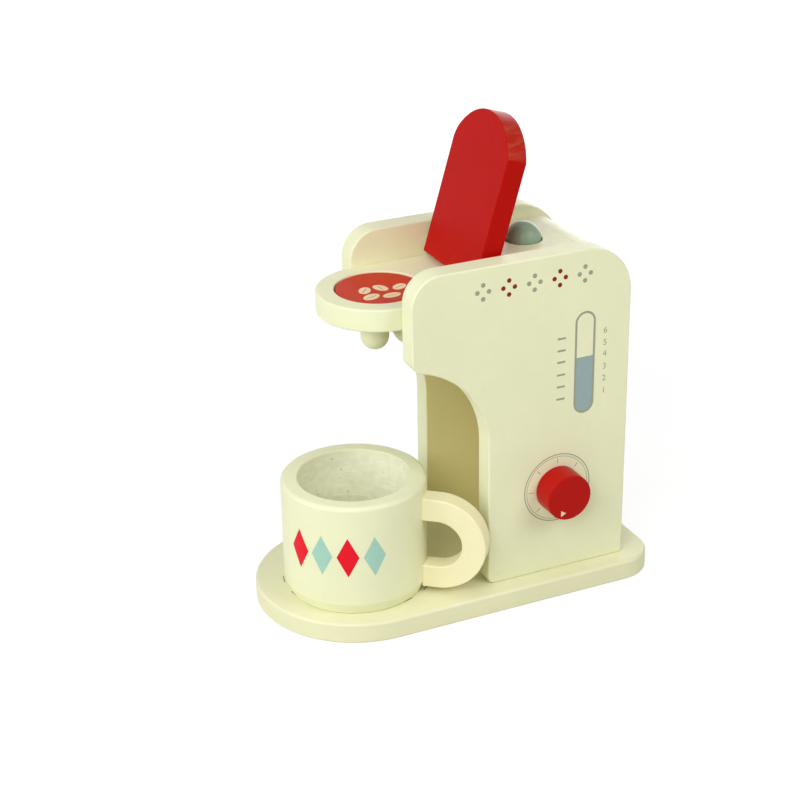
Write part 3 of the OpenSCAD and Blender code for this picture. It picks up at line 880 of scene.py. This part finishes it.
class COFFEE_OT_side_panels(bpy.types.Operator):
    """The two side panels with their arch, and the dial's bore in the right one"""

    bl_idname = "coffee_maker.side_panels"
    bl_label = "Side panels"

    def execute(self, context):
        sizes = context.scene.coffee_maker_boards
        outline = filled("right_panel_painted", *panel_outline(sizes, PANEL_LOW.x))
        right = thicken(outline, (PANEL_HIGH.x - PANEL_LOW.x, 0, 0))
        soften(right, sizes.panel_soft, 4)
        left = copy_of(right, "left_panel_painted")
        place(left, (-PANEL_LOW.x - PANEL_HIGH.x, 0, 0))
        bore_r, reach = context.scene.coffee_maker_turned.spigot_r + BORE_PLAY, 20 * MM
        bore = rod("bore", bore_r, -reach, reach, sides=64)
        cut(right, place(bore, ((PANEL_LOW.x + PANEL_HIGH.x) / 2, DIAL.y, DIAL.z), ALONG_X))
        deliver(left, "machine", "cream_upright", "left_side_panel")
        deliver(right, "machine", "cream_upright", "right_side_panel")
        return {"FINISHED"}


class COFFEE_OT_back_board(bpy.types.Operator):
    """The back board between the panels"""

    bl_idname = "coffee_maker.back_board"
    bl_label = "Back board"

    def execute(self, context):
        back = block("back_board_painted", BACK_LOW, BACK_HIGH)
        soften(back, context.scene.coffee_maker_boards.back_soft)
        deliver(back, "machine", "cream_upright", "back_board")
        return {"FINISHED"}


def round_rear(piece, sizes):
    """Rounds the rear edge that tray and block have in common."""
    y, z = TRAY_HIGH.y, BLOCK_HIGH.z
    inner_y, inner_z = y - sizes.rear_edge_r, z - sizes.rear_edge_r
    half = BLOCK_HIGH.x + CLEAR
    at = at_x(-half)
    moves = [
        (at(inner_y, inner_z), at(y, inner_z)),
        at(y + CLEAR, inner_z),
        at(y + CLEAR, z + CLEAR),
        at(inner_y, z + CLEAR),
        at(inner_y, z),
    ]
    return cut(piece, thicken(filled("rear_rounding", at(inner_y, z), moves), (2 * half, 0, 0)))


class COFFEE_OT_brewing_tray(bpy.types.Operator):
    """The brewing tray with its round nose and the recess for the disc"""

    bl_idname = "coffee_maker.brewing_tray"
    bl_label = "Brewing tray"

    def execute(self, context):
        sizes = context.scene.coffee_maker_boards
        bore_r = context.scene.coffee_maker_turned.stem_r + BORE_PLAY
        tray = block("tray_painted", TRAY_LOW, TRAY_HIGH)
        round_nose(tray, TRAY_HIGH.x, steps=32)
        round_rear(tray, sizes)
        soften(tray, sizes.tray_soft)
        top, recess_r, rim_soft = TRAY_HIGH.z, sizes.recess_r, 0.5 * MM
        drill(tray, bore_r, TRAY_LOW.z - CLEAR, top + CLEAR, BUTTON_Y, 48)
        drill(tray, recess_r, top - sizes.recess_depth, top + CLEAR, TRAY_Y, 128)
        round_over(tray, rim_of(recess_r, TRAY_Y, top), rim_soft, steps=3)
        deliver(tray, "machine", "cream_level", "brewing_tray")
        return {"FINISHED"}


class COFFEE_OT_top_block(bpy.types.Operator):
    """The block behind the lid, with the well of the start button"""

    bl_idname = "coffee_maker.top_block"
    bl_label = "Top block"

    def execute(self, context):
        sizes = context.scene.coffee_maker_boards
        top = round_rear(block("top_block_painted", BLOCK_LOW, BLOCK_HIGH), sizes)
        soften(top, sizes.block_soft)
        high, rim_soft = BLOCK_HIGH.z, 0.4 * MM
        well_z = high - sizes.well_depth
        drill(top, sizes.well_r, well_z, high + CLEAR, BUTTON_Y)
        drill(top, sizes.pocket_r, BLOCK_LOW.z - MM, well_z + MM, BUTTON_Y, 48)
        round_over(top, rim_of(sizes.well_r, BUTTON_Y, high), rim_soft, steps=3)
        deliver(top, "machine", "cream_level", "top_block")
        return {"FINISHED"}


class COFFEE_OT_spouts(bpy.types.Operator):
    """The two round-ended spouts under the tray"""

    bl_idname = "coffee_maker.spouts"
    bl_label = "Spouts"

    def execute(self, context):
        r, spigot_r = context.scene.coffee_maker_turned.spout_r, 4 * MM
        low, high = span("front_spout")
        under, ball = TRAY_LOW.z, low.z + r
        spigot = [(spigot_r, under), (spigot_r, high.z), (0, high.z)]
        moves = [((0, ball), (r, ball)), (r, under), *spigot]
        front = turned("front_spout_painted", (0, low.z), moves)
        rear = copy_of(front, "rear_spout_painted")
        for piece, node in ((front, "front_spout"), (rear, "rear_spout")):
            low, high = span(node)
            place(piece, (0, (low.y + high.y) / 2, 0))
            deliver(piece, "machine", "cream_turned", node)
        return {"FINISHED"}


class COFFEE_OT_coffee_disc(bpy.types.Operator):
    """The loose coffee disc in the tray"""

    bl_idname = "coffee_maker.coffee_disc"
    bl_label = "Coffee disc"

    def execute(self, context):
        r, edge = (DISC_HIGH.x - DISC_LOW.x) / 2, 0.6 * MM
        low, high = DISC_LOW.z, DISC_HIGH.z
        moves = [*eased(r, low, edge, up=False), *eased(r, high, edge), (0, high)]
        disc = place(turned("coffee_disc_painted", (0, low), moves), (0, TRAY_Y, 0))
        deliver(disc, "disc", "red_disc", "coffee_disc")
        return {"FINISHED"}


def lid_bow(sizes):
    """Heights above the hinge line of the lid's tip and of the start of its bow."""
    bow_r = LID_HALF + sizes.lid_bow
    tip = sizes.lid_l - sizes.lid_end
    return tip, tip - bow_r + math.sqrt(bow_r**2 - LID_HALF**2)


class COFFEE_OT_lid(bpy.types.Operator):
    """The round-ended lid, leaning back open on its hinge"""

    bl_idname = "coffee_maker.lid"
    bl_label = "Lid"

    def execute(self, context):
        sizes = context.scene.coffee_maker_turned
        tip, bow_start = lid_bow(sizes)
        bow_r, low, at = LID_HALF + sizes.lid_bow, -sizes.lid_end, at_front
        middle = at(0, tip - bow_r)
        # The left side is sanded round where it meets the bow.
        inner_r = bow_r - sizes.lid_eased
        shoulder_x = sizes.lid_eased - LID_HALF
        shoulder = middle + at(shoulder_x, math.sqrt(inner_r**2 - shoulder_x**2))
        moves = [
            at(-LID_HALF, shoulder.z),
            (shoulder, middle + (shoulder - middle) * bow_r / inner_r),
            (middle, at(0, tip)),
            (middle, at(LID_HALF, bow_start)),
            at(LID_HALF, low),
            at(-LID_HALF, low),
        ]
        lid = thicken(filled("lid_painted", at(-LID_HALF, low), moves), (0, sizes.lid_t, 0))
        place(lid, (0, -sizes.lid_face, 0))
        heel = parallel(0, lambda p: p.z < 0 and p.y > 0)
        toe = parallel(0, lambda p: p.z < 0 and p.y < 0)
        round_over(lid, heel, sizes.lid_heel_r, steps=6)
        round_over(lid, toe, sizes.lid_toe_r, steps=4)
        soften(lid, sizes.lid_soft)
        bore = rod("bore", sizes.spacer_bore_r, -2 * LID_HALF, 2 * LID_HALF, sides=48)
        cut(lid, place(bore, turn=ALONG_X))
        place(lid, (0, HINGE.y, HINGE.z), (-sizes.lid_lean, 0, 0))
        deliver(lid, "lid", "red_lid", "lid")
        return {"FINISHED"}


def ring(name, bore_r, r, low, high, edge):
    """A flat ring with rounded outer edges, about the Z axis."""
    moves = [*eased(r, low, edge, up=False), *eased(r, high, edge), (bore_r, high), (bore_r, low)]
    return turned(name, (bore_r, low), moves, 64)


class COFFEE_OT_lid_spacers(bpy.types.Operator):
    """The two wooden spacers beside the lid"""

    bl_idname = "coffee_maker.lid_spacers"
    bl_label = "Hinge spacers"

    def execute(self, context):
        sizes = context.scene.coffee_maker_turned
        low, high = span("lid_spacers")
        near, far = sizes.side_gap + LID_HALF, high.x
        spacer = ring("spacer", sizes.spacer_bore_r, (high.z - low.z) / 2, near, far, BROKEN)
        place(spacer, (0, HINGE.y, HINGE.z), ALONG_X)
        twin = place(copy_of(spacer, "spacer_twin"), (-near - far, 0, 0))
        both = join("lid_spacers_turned", [spacer, twin])
        deliver(both, "machine", "beech", "lid_spacers")
        return {"FINISHED"}


class COFFEE_OT_start_button(bpy.types.Operator):
    """The domed start button on its stem"""

    bl_idname = "coffee_maker.start_button"
    bl_label = "Start button"

    def execute(self, context):
        sizes = context.scene.coffee_maker_turned
        r, stem_r, hole_r = sizes.dome_r, sizes.stem_r, sizes.pilot_r
        foot, hole_end = BUTTON_LOW.z, BUTTON_LOW.z + sizes.pilot_l
        dome = BUTTON_HIGH.z - r
        skirt = dome - sizes.skirt_h
        moves = [
            (hole_r, hole_end),
            (hole_r, foot),
            (stem_r, foot),
            (stem_r, skirt),
            *eased(r, skirt, BROKEN, up=False),
            (r, dome),
            ((0, dome), (0, BUTTON_HIGH.z)),
        ]
        button = place(turned("start_button_painted", (0, hole_end), moves), (0, BUTTON_Y, 0))
        deliver(button, "button", "sage", "start_button")
        return {"FINISHED"}


def pan_screw(name):
    """A slotted pan-head screw, its head's seat at the origin and its shank along +Z."""
    head_r, head_h, crown = 3 * MM, 2 * MM, 0.7 * MM
    shank_r, shank_l, point_l = 1.4 * MM, 14 * MM, 2.5 * MM
    moves = [
        (shank_r * 0.3, shank_l),
        (shank_r, shank_l - point_l),
        (shank_r, 0),
        (head_r, 0),
        (head_r, crown - head_h),
        ((head_r - crown, crown - head_h), (head_r - crown, -head_h)),
        (0, -head_h),
    ]
    screw = turned(name, (0, shank_l), moves, 48)
    reach, slot_half = head_r + MM, 0.4 * MM
    low, high = (-reach, -slot_half, -head_h - MM), (reach, slot_half, crown - head_h)
    return cut(screw, block("slot", low, high))


def washer_and_screw(body, r, low, high, edge, spot, turn=(0, 0, 0)):
    """The washer from low to high on a body's axis, and the screw that holds it there."""
    hole_r = bpy.context.scene.coffee_maker_turned.pilot_r
    washer = ring(f"{body}_washer_plated", hole_r, r, low, high, edge)
    deliver(place(washer, spot, turn), body, "steel", f"{body}_washer")
    screw = place(pan_screw(f"{body}_screw_plated"), (0, 0, low))
    deliver(place(screw, spot, turn), body, "steel", f"{body}_screw")


class COFFEE_OT_button_fittings(bpy.types.Operator):
    """The washer and screw under the start button's stem"""

    bl_idname = "coffee_maker.button_fittings"
    bl_label = "Button fittings"

    def execute(self, context):
        (low, high), edge = span("button_washer"), 0.2 * MM
        washer_and_screw("button", high.x, low.z, high.z, edge, (0, BUTTON_Y, 0))
        return {"FINISHED"}


class COFFEE_OT_dial_knob(bpy.types.Operator):
    """The red dial knob on its spigot"""

    bl_idname = "coffee_maker.dial_knob"
    bl_label = "Dial knob"

    def execute(self, context):
        sizes = context.scene.coffee_maker_turned
        r, spigot_r, hole_r = sizes.knob_r, sizes.spigot_r, sizes.pilot_r
        start, hole_end = KNOB_LOW.x, KNOB_LOW.x + sizes.pilot_l
        back = PANEL_HIGH.x + 0.3 * MM
        face = KNOB_HIGH.x - context.scene.coffee_maker_prints.ink_t
        moves = [
            (hole_r, hole_end),
            (hole_r, start),
            (spigot_r, start),
            (spigot_r, back),
            *eased(r, back, BROKEN, up=False),
            *eased(r, face, sizes.knob_edge_r),
            (0, face),
        ]
        knob = turned("dial_knob_painted", (0, hole_end), moves, 128)
        place(knob, (0, DIAL.y, DIAL.z), ALONG_X)
        deliver(knob, "dial", "red_knob", "dial_knob")
        return {"FINISHED"}


class COFFEE_OT_dial_fittings(bpy.types.Operator):
    """The washer and screw that hold the dial from inside the panel"""

    bl_idname = "coffee_maker.dial_fittings"
    bl_label = "Dial fittings"

    def execute(self, context):
        (low, high), edge = span("dial_washer"), 0.25 * MM
        r, spot = (high.z - low.z) / 2, (0, DIAL.y, DIAL.z)
        washer_and_screw("dial", r, low.x, high.x, edge, spot, ALONG_X)
        return {"FINISHED"}


class COFFEE_OT_mug_body(bpy.types.Operator):
    """The turned mug with its rounded rim and drawn-in foot"""

    bl_idname = "coffee_maker.mug_body"
    bl_label = "Mug"

    def execute(self, context):
        sizes = context.scene.coffee_maker_turned
        r, bore, inner, corner, fine = MUG_R, sizes.mug_bore_r, sizes.rim_inner_r, MM, 0.1 * MM
        foot, rim, foot_r = MUG_LOW.z, MUG_HIGH.z, MUG_R - sizes.foot_in
        floor, foot_top = foot + sizes.mug_floor, foot + sizes.foot_h
        moves = [
            (foot_r - 4 * fine, foot),
            (foot_r + fine, foot + 5 * fine),
            (r - 1.5 * fine, foot_top - 3.5 * fine),
            (r, foot_top + 5 * fine),
            *eased(r, rim, sizes.rim_r),
            (bore + inner, rim),
            ((bore + inner, rim - inner), (bore, rim - inner)),
            (bore, floor + corner),
            ((bore - corner, floor + corner), (bore - corner, floor)),
            (0, floor),
        ]
        mug = place(turned("mug_painted", (0, foot), moves, 144), (MUG.x, MUG.y, 0))
        deliver(mug, "mug", "cream_mug", "mug_body")
        return {"FINISHED"}


class COFFEE_OT_mug_handle(bpy.types.Operator):
    """The bowed handle, hollowed to sit against the mug"""

    bl_idname = "coffee_maker.mug_handle"
    bl_label = "Mug handle"

    def execute(self, context):
        sizes = context.scene.coffee_maker_turned
        half_t, far, z = sizes.handle_t / 2, sizes.handle_reach, sizes.handle_z
        start = MUG_R - half_t

        def bow(name, radius, near, half):
            shape = block(name, (near, -half, z - radius), (far + radius, half, z + radius))
            return round_over(shape, parallel(1, lambda p: p.x > far), radius, steps=24)

        handle = bow("mug_handle_painted", sizes.handle_r, start, half_t)
        cut(handle, bow("finger_hole", sizes.finger_r, start - CLEAR, half_t + CLEAR))
        soften(handle, sizes.handle_soft)
        glue_gap = 0.03 * MM
        cut(handle, rod("mug_side", MUG_R + glue_gap, MUG_LOW.z, MUG_HIGH.z, sides=144))
        place(handle, (MUG.x, MUG.y, 0), (0, 0, sizes.handle_turn))
        deliver(handle, "mug", "cream_handle", "mug_handle")
        return {"FINISHED"}


class COFFEE_OT_base_screws(bpy.types.Operator):
    """The countersunk screws in the base's underside"""

    bl_idname = "coffee_maker.base_screws"
    bl_label = "Base screws"

    def execute(self, context):
        low, high = span("base_screws")
        head_r, shank_r, tip_r, rim = 4 * MM, 1.9 * MM, 0.4 * MM, 0.12 * MM
        shank_l = high.z - low.z
        moves = [
            (tip_r, shank_l),
            (shank_r, shank_l - 4 * MM),
            (shank_r, head_r - shank_r),
            (head_r, rim),
            (head_r - rim, 0),
            (0, 0),
        ]
        screw = turned("screw", (0, shank_l), moves, 48)
        arm, width, depth = 2.3 * MM, 0.55 * MM, 1.3 * MM
        cut(screw, block("cross_a", (-arm, -width, -MM), (arm, width, depth)))
        cut(screw, block("cross_b", (-width, -arm, -MM), (width, arm, depth)))
        spots = screw_spots()
        screws = [place(copy_of(screw, "screw_copy"), (x, y, low.z)) for x, y in spots]
        bpy.data.objects.remove(screw)
        all_four = join("base_screws_plated", screws)
        deliver(all_four, "machine", "steel", "base_screws")
        return {"FINISHED"}


class COFFEE_OT_hidden_parts(bpy.types.Operator):
    """The finishes of the dowels, the hinge pin and the spring"""

    bl_idname = "coffee_maker.hidden_parts"
    bl_label = "Dowels, pin and spring"

    def execute(self, context):
        for node in ("board_dowels", "foot_dowels", "mug_dowels", "lid_hinge_pin", "button_spring"):
            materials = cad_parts[node].data.materials
            materials.clear()
            materials.append(finish("spring" if node == "button_spring" else "beech"))
        return {"FINISHED"}


# ---- prints ----

# Turns the print's plane so that its x runs along +Y and its y along +Z, facing +X
ON_PANEL = (QUARTER, 0, QUARTER)
# What is printed on the panel and the dial, in millimetres along +Y and +Z
FIRST_DOTS, DOT_STEPS = (2.6, 178.6), ((3.2, 0), (-3.2, 0), (0, 3.7), (0, -3.7))
GAUGE_LOW, GAUGE_HIGH, WATER_Z = (55.3, 100.9), (67.2, 158.0), 132.8
TICK_START, TICK_END, TICK_HALF, DIGIT_Y = 45.2, 49.9, 0.55, 73.1
DIGIT_Z = {"6": 145.3, "5": 138.6, "4": 132.2, "3": 125.1, "2": 118.4, "1": 111.5}
MARKER = ((41.6, 54.0), (44.6, 52.1), (41.6, 50.5))
TEXT_PER_DIGIT = 1.42  # the text's size over the height of its digits


def flat(x, y):
    """A point in the print's plane, given in millimetres."""
    return Vector((x * MM, y * MM, 0))


def dot(name, radius, sides=32):
    """A flat disc of ink at the origin, facing +Z."""
    put_down()
    bpy.ops.mesh.primitive_circle_add(vertices=sides, radius=radius, fill_type="NGON")
    return added(name)


def bar(name, low, high):
    """A flat bar of ink between two corners in millimetres, facing +Z."""
    low, high = flat(*low), flat(*high)
    put_down()
    bpy.ops.mesh.primitive_plane_add(size=1)
    piece = added(name)
    piece.scale = high - low + Z
    piece.location = (low + high) / 2
    return settle(piece)


def hollow_out(piece, line):
    """Leaves only a line along a flat shape's outline."""
    open_up(piece, "FACE")
    bpy.ops.mesh.inset(thickness=line, depth=0)
    bpy.ops.mesh.delete(type="FACE")
    return close_up(piece)


def stadium(name, low, high, inset=0.0):
    """A flat upright shape with two round ends, facing +Z, inset from its two corners."""
    left, right = low.x + inset, high.x - inset
    r = (right - left) / 2
    bottom, top = low.y + inset, high.y - inset

    def at(x, y):
        return Vector((x, y, 0))

    upper, lower = at(left + r, top - r), at(left + r, bottom + r)
    moves = [
        at(right, upper.y),
        (upper, at(upper.x, top)),
        (upper, at(left, upper.y)),
        at(left, lower.y),
        (lower, at(lower.x, bottom)),
        (lower, at(right, lower.y)),
    ]
    return filled(name, at(right, lower.y), moves)


def digit(text, height, at):
    """A plain printed number, made a mesh before it is placed."""
    put_down()
    bpy.ops.object.text_add()
    letter = bpy.context.object.data
    letter.body = text
    letter.align_x = letter.align_y = "CENTER"
    letter.size = height * TEXT_PER_DIGIT
    bpy.ops.object.convert(target="MESH")
    return place(added("digit"), at)


class COFFEE_OT_panel_prints(bpy.types.Operator):
    """The dots, the water gauge and the dial's scale on the right panel"""

    bl_idname = "coffee_maker.panel_prints"
    bl_label = "Panel prints"

    def execute(self, context):
        sizes = context.scene.coffee_maker_prints
        lines, red = [], []
        for number in range(5):
            middle = flat(*FIRST_DOTS) + Vector((number * sizes.dot_pitch, 0, 0))
            spots = [middle + flat(*step) for step in DOT_STEPS]
            group = join("dots", [place(dot("dots", sizes.dot_r), spot) for spot in spots])
            (red if number % 2 else lines).append(group)

        low, high, line = flat(*GAUGE_LOW), flat(*GAUGE_HIGH), sizes.gauge_line
        lines.append(hollow_out(stadium("gauge", low, high), line))
        water = open_up(stadium("gauge_fill", low, high, line * 0.98))
        bpy.ops.mesh.bisect(plane_co=flat(0, WATER_Z), plane_no=(0, 1, 0), clear_outer=True)
        close_up(water)
        for number, z in DIGIT_Z.items():
            lines.append(bar("tick", (TICK_START, z - TICK_HALF), (TICK_END, z + TICK_HALF)))
            lines.append(digit(number, sizes.digit_h, flat(DIGIT_Y, z)))

        dial = (DIAL.y, DIAL.z, 0)
        for radius, width in ((sizes.scale_r, 0.55 * MM), (sizes.scale_r - 1.4 * MM, 0.3 * MM)):
            lines.append(place(hollow_out(dot("scale_ring", radius, 128), width), dial))
        for number in range(8):
            mark = bar("scale_mark", (14.2, -0.2), (17.0, 0.2))
            lines.append(place(mark, dial, (0, 0, number * math.pi / 4)))
        for name, prints, colour in (
            ("panel_grey_print", [water], "grey_ink"),
            ("panel_line_print", lines, "line_ink"),
            ("panel_red_print", red, "dot_ink"),
        ):
            film = thicken(join(name, prints), (0, 0, sizes.ink_t))
            deliver(place(film, (PANEL_HIGH.x, 0, 0), ON_PANEL), "machine", colour)
        return {"FINISHED"}


class COFFEE_OT_dial_marker(bpy.types.Operator):
    """The small triangle on the dial's face"""

    bl_idname = "coffee_maker.dial_marker"
    bl_label = "Dial marker"

    def execute(self, context):
        ink_t = context.scene.coffee_maker_prints.ink_t
        first, *others = [flat(*corner) for corner in MARKER]
        marker = thicken(filled("dial_marker", first, [*others, first]), (0, 0, ink_t))
        place(marker, (KNOB_HIGH.x - ink_t, 0, 0), ON_PANEL)
        deliver(marker, "dial", "cream_ink")
        return {"FINISHED"}


# Each bean's place from the disc's centre, half length, half width and direction
BEANS = (
    (0.6, -7.8, 4.6, 3.1, 150),
    (0.7, 0.9, 4.8, 3.1, 21),
    (3.1, 10.3, 4.5, 3.0, 126),
    (10.0, -8.1, 5.0, 3.3, 116),
    (12.2, 2.1, 4.9, 3.0, 96),
)
# The wavy slit along a bean, as corners in order
SLIT = (
    (-4.2, 0.3), (-2.2, 0.75), (0, 0.25), (2.2, -0.35),
    (4.2, -0.1), (2.2, -0.75), (0, -0.25), (-2.2, 0.35),
)


class COFFEE_OT_bean_print(bpy.types.Operator):
    """Five coffee beans on the disc"""

    bl_idname = "coffee_maker.bean_print"
    bl_label = "Bean print"

    def execute(self, context):
        ink_t = context.scene.coffee_maker_prints.ink_t
        first, *others = [flat(*corner) for corner in SLIT]
        shapes = []
        for x, y, half_l, half_w, angle in BEANS:
            bean = dot("bean", MM, 40)
            bean.scale = (half_l, half_w, 1)
            slit = thicken(filled("slit", first, [*others, first]), (0, 0, 2 * MM))
            cut(thicken(settle(bean), (0, 0, ink_t)), place(slit, (0, 0, -MM)))
            spot = flat(x, y) + Vector((0, TRAY_Y, DISC_HIGH.z))
            shapes.append(place(bean, spot, (0, 0, math.radians(angle))))
        deliver(join("bean_print", shapes), "disc", "cream_ink")
        return {"FINISHED"}


class COFFEE_OT_mug_prints(bpy.types.Operator):
    """The four diamonds round the mug"""

    bl_idname = "coffee_maker.mug_prints"
    bl_label = "Mug diamonds"

    def execute(self, context):
        sizes = context.scene.coffee_maker_prints
        half_w, half_h, middle_z = sizes.diamond_w, sizes.diamond_h, 45.8 * MM
        cuts = [((0, 0, 0), (-1, 0, 0))]
        for y, z in ((1, 1), (1, -1), (-1, 1), (-1, -1)):
            slope = Vector((0, y * half_h, z * half_w)).normalized()
            cuts.append(((0, y * half_w, 0), slope))
        for name, colour, angles in (
            ("mug_red_diamonds", "red_ink", (-70.4, -28.4)),
            ("mug_blue_diamonds", "blue_ink", (-49.4, -7.4)),
        ):
            shapes = []
            for angle in angles:
                put_down()
                bpy.ops.mesh.primitive_cylinder_add(
                    vertices=360, radius=MUG_R, depth=2.2 * half_h, end_fill_type="NOTHING"
                )
                shape = open_up(settle(added("diamond")))
                for through, outwards in cuts:
                    bpy.ops.mesh.select_all(action="SELECT")
                    bpy.ops.mesh.bisect(plane_co=through, plane_no=outwards, clear_outer=True)
                close_up(shape)
                shape_with(shape, "SOLIDIFY", "Ink", thickness=2 * sizes.ink_t, offset=0.0)
                shapes.append(place(shape, (MUG.x, MUG.y, middle_z), (0, 0, math.radians(angle))))
            deliver(smooth(heal(join(name, shapes))), "mug", colour)
        return {"FINISHED"}


class COFFEE_OT_place_mark(bpy.types.Operator):
    """The dashed ring on the base that marks the mug's place"""

    bl_idname = "coffee_maker.place_mark"
    bl_label = "Place mark"

    def execute(self, context):
        sizes = context.scene.coffee_maker_prints
        half_line = 0.4 * MM
        inner, outer = sizes.mark_r - half_line, sizes.mark_r + half_line
        count, dash, first = 15, math.radians(9.4), math.radians(-104)
        dashes = []
        for number in range(count):
            angle = first + number * 2 * math.pi / count - dash / 2
            outwards = Vector((math.cos(angle), math.sin(angle), 0))
            mark = open_up(draw("dash", outwards * inner, [outwards * outer]))
            bpy.ops.mesh.spin(steps=5, angle=-dash, center=(0, 0, 0), axis=Z)
            dashes.append(close_up(mark))
        film = thicken(join("place_mark_print", dashes), (0, 0, sizes.ink_t))
        nose_y = BASE_LOW.y + BASE_HIGH.x
        aside, back = 0.6 * MM, 0.2 * MM
        place(film, (aside, nose_y + back, BASE_HIGH.z))
        deliver(film, "machine", "line_ink")
        return {"FINISHED"}


# ---- stage ----

# Each soft lamp's name, place, width and power
LAMPS = (
    ("front", (0.05, -1.3, 0.55), 0.7, 6.6),
    ("key", (0.9, -0.9, 1.0), 0.8, 11.3),
    ("rear", (0.9, 0.6, 0.9), 0.7, 6.5),
    ("top", (0.1, -0.1, 1.5), 0.9, 2.8),
    ("left", (-0.9, -0.8, 0.9), 0.7, 1.6),
    ("behind", (-1.0, 0.9, 0.35), 0.8, 4.0),
)
LAMPS_AIM = Vector((0, 0, 0.1))
FLOOR_SIZE = 6
FLOOR_GLOW = (0.3, 0.8, 0.80, 0.97)  # from 0.80 within 0.3 m of the middle to 0.97 beyond 0.8 m
CAMERA_LENS, CAMERA_SENSOR = 81.84, 36
CAMERA_TARGET, CAMERA_DISTANCE = Vector((0, -23.56, 107.48)) * MM, 951.04 * MM
CAMERA_AZIMUTH, CAMERA_ELEVATION, CAMERA_ROLL = (math.radians(a) for a in (65.888, 24.82, -1.022))


def add_to_scene(name, data):
    """An object in the scene for a lamp's or camera's data."""
    holder = bpy.data.objects.new(name, data)
    bpy.context.scene.collection.objects.link(holder)
    return holder


class COFFEE_OT_stage(bpy.types.Operator):
    """The pale floor, the soft lamps, the white surround and the camera"""

    bl_idname = "coffee_maker.stage"
    bl_label = "Stage"

    def execute(self, context):
        scene = context.scene
        put_down()
        bpy.ops.mesh.primitive_plane_add(size=FLOOR_SIZE)
        floor = bpy.context.object
        floor.name = "floor"
        card = Bench(bpy.data.materials.new("floor_card"))
        glow = card.spread(card.vector("LENGTH", card.where), *FLOOR_GLOW)
        glow = card.node("Emission", {"Strength": glow})
        shadow = card.node("BsdfDiffuse", {"Color": (0.30, 0.30, 0.30, 1)})
        pale = card.node("BsdfDiffuse", {"Color": (0.71, 0.7, 0.62, 1)})
        white = card.node("AddShader", {0: shadow.outputs[0], 1: glow.outputs[0]})
        card.show("Material Output", pale, white)
        card.tree.nodes.remove(card.tree.nodes["Principled BSDF"])
        floor.data.materials.append(card.owner)

        scene.world = bpy.data.worlds.new("studio")
        sky = Bench(scene.world)
        soft = sky.node("Background", {"Color": WHITE, "Strength": 0.1})
        white = sky.node("Background", {"Color": WHITE, "Strength": 1.0})
        sky.show("World Output", soft, white)
        sky.tree.nodes.remove(sky.tree.nodes["Background"])

        for name, spot, size, power in LAMPS:
            light = bpy.data.lights.new(name, "AREA")
            light.shape = "SQUARE"
            light.size = size
            light.energy = power
            light.spread = math.pi
            holder = add_to_scene(name, light)
            holder.location = spot
            aim = LAMPS_AIM - Vector(spot)
            holder.rotation_euler = aim.to_track_quat("-Z", "Y").to_euler()

        camera = bpy.data.cameras.new("camera")
        camera.lens = CAMERA_LENS
        camera.sensor_width = CAMERA_SENSOR
        scene.camera = add_to_scene("camera", camera)
        scene.camera.matrix_world = (
            Matrix.Translation(CAMERA_TARGET)
            @ Matrix.Rotation(CAMERA_AZIMUTH, 4, "Z")
            @ Matrix.Rotation(QUARTER - CAMERA_ELEVATION, 4, "X")
            @ Matrix.Rotation(CAMERA_ROLL, 4, "Z")
            @ Matrix.Translation((0, 0, CAMERA_DISTANCE))
        )
        scene.view_settings.view_transform = "Standard"
        return {"FINISHED"}


PIECE_OPERATORS = (
    COFFEE_OT_base_board,
    COFFEE_OT_side_panels,
    COFFEE_OT_back_board,
    COFFEE_OT_brewing_tray,
    COFFEE_OT_top_block,
    COFFEE_OT_spouts,
    COFFEE_OT_coffee_disc,
    COFFEE_OT_lid,
    COFFEE_OT_lid_spacers,
    COFFEE_OT_start_button,
    COFFEE_OT_button_fittings,
    COFFEE_OT_dial_knob,
    COFFEE_OT_dial_fittings,
    COFFEE_OT_mug_body,
    COFFEE_OT_mug_handle,
    COFFEE_OT_base_screws,
    COFFEE_OT_hidden_parts,
    COFFEE_OT_panel_prints,
    COFFEE_OT_dial_marker,
    COFFEE_OT_bean_print,
    COFFEE_OT_mug_prints,
    COFFEE_OT_place_mark,
    COFFEE_OT_stage,
)
SETTINGS = {
    "coffee_maker_boards": BoardSizes,
    "coffee_maker_turned": TurnedSizes,
    "coffee_maker_prints": PrintSizes,
    "coffee_maker_finishes": Finishes,
}


class VIEW3D_PT_coffee_maker(bpy.types.Panel):
    """Lists the coffee maker's pieces, sizes and colours"""

    bl_label = "Coffee maker"
    bl_idname = "VIEW3D_PT_coffee_maker"
    bl_space_type = "VIEW_3D"
    bl_region_type = "UI"
    bl_category = "Coffee maker"

    def draw(self, context):
        for piece in PIECE_OPERATORS:
            self.layout.operator(piece.bl_idname)
        for settings in SETTINGS:
            group, box = getattr(context.scene, settings), self.layout.box()
            for name in group.bl_rna.properties.keys():
                if name not in ("rna_type", "name"):
                    box.prop(group, name)


CLASSES = (*SETTINGS.values(), *PIECE_OPERATORS, VIEW3D_PT_coffee_maker)


def register():
    """Registers the classes and the settings on the scene."""
    for kind in CLASSES:
        bpy.utils.register_class(kind)
    for name, group in SETTINGS.items():
        setattr(bpy.types.Scene, name, bpy.props.PointerProperty(type=group))


def unregister():
    """Takes the settings and the classes away again."""
    for name in SETTINGS:
        delattr(bpy.types.Scene, name)
    for kind in reversed(CLASSES):
        bpy.utils.unregister_class(kind)


def main():
    """Builds the whole coffee maker."""
    register()
    for piece in PIECE_OPERATORS:
        group, name = piece.bl_idname.split(".")
        getattr(getattr(bpy.ops, group), name)()
    put_down()


if __name__ == "__main__":
    main()
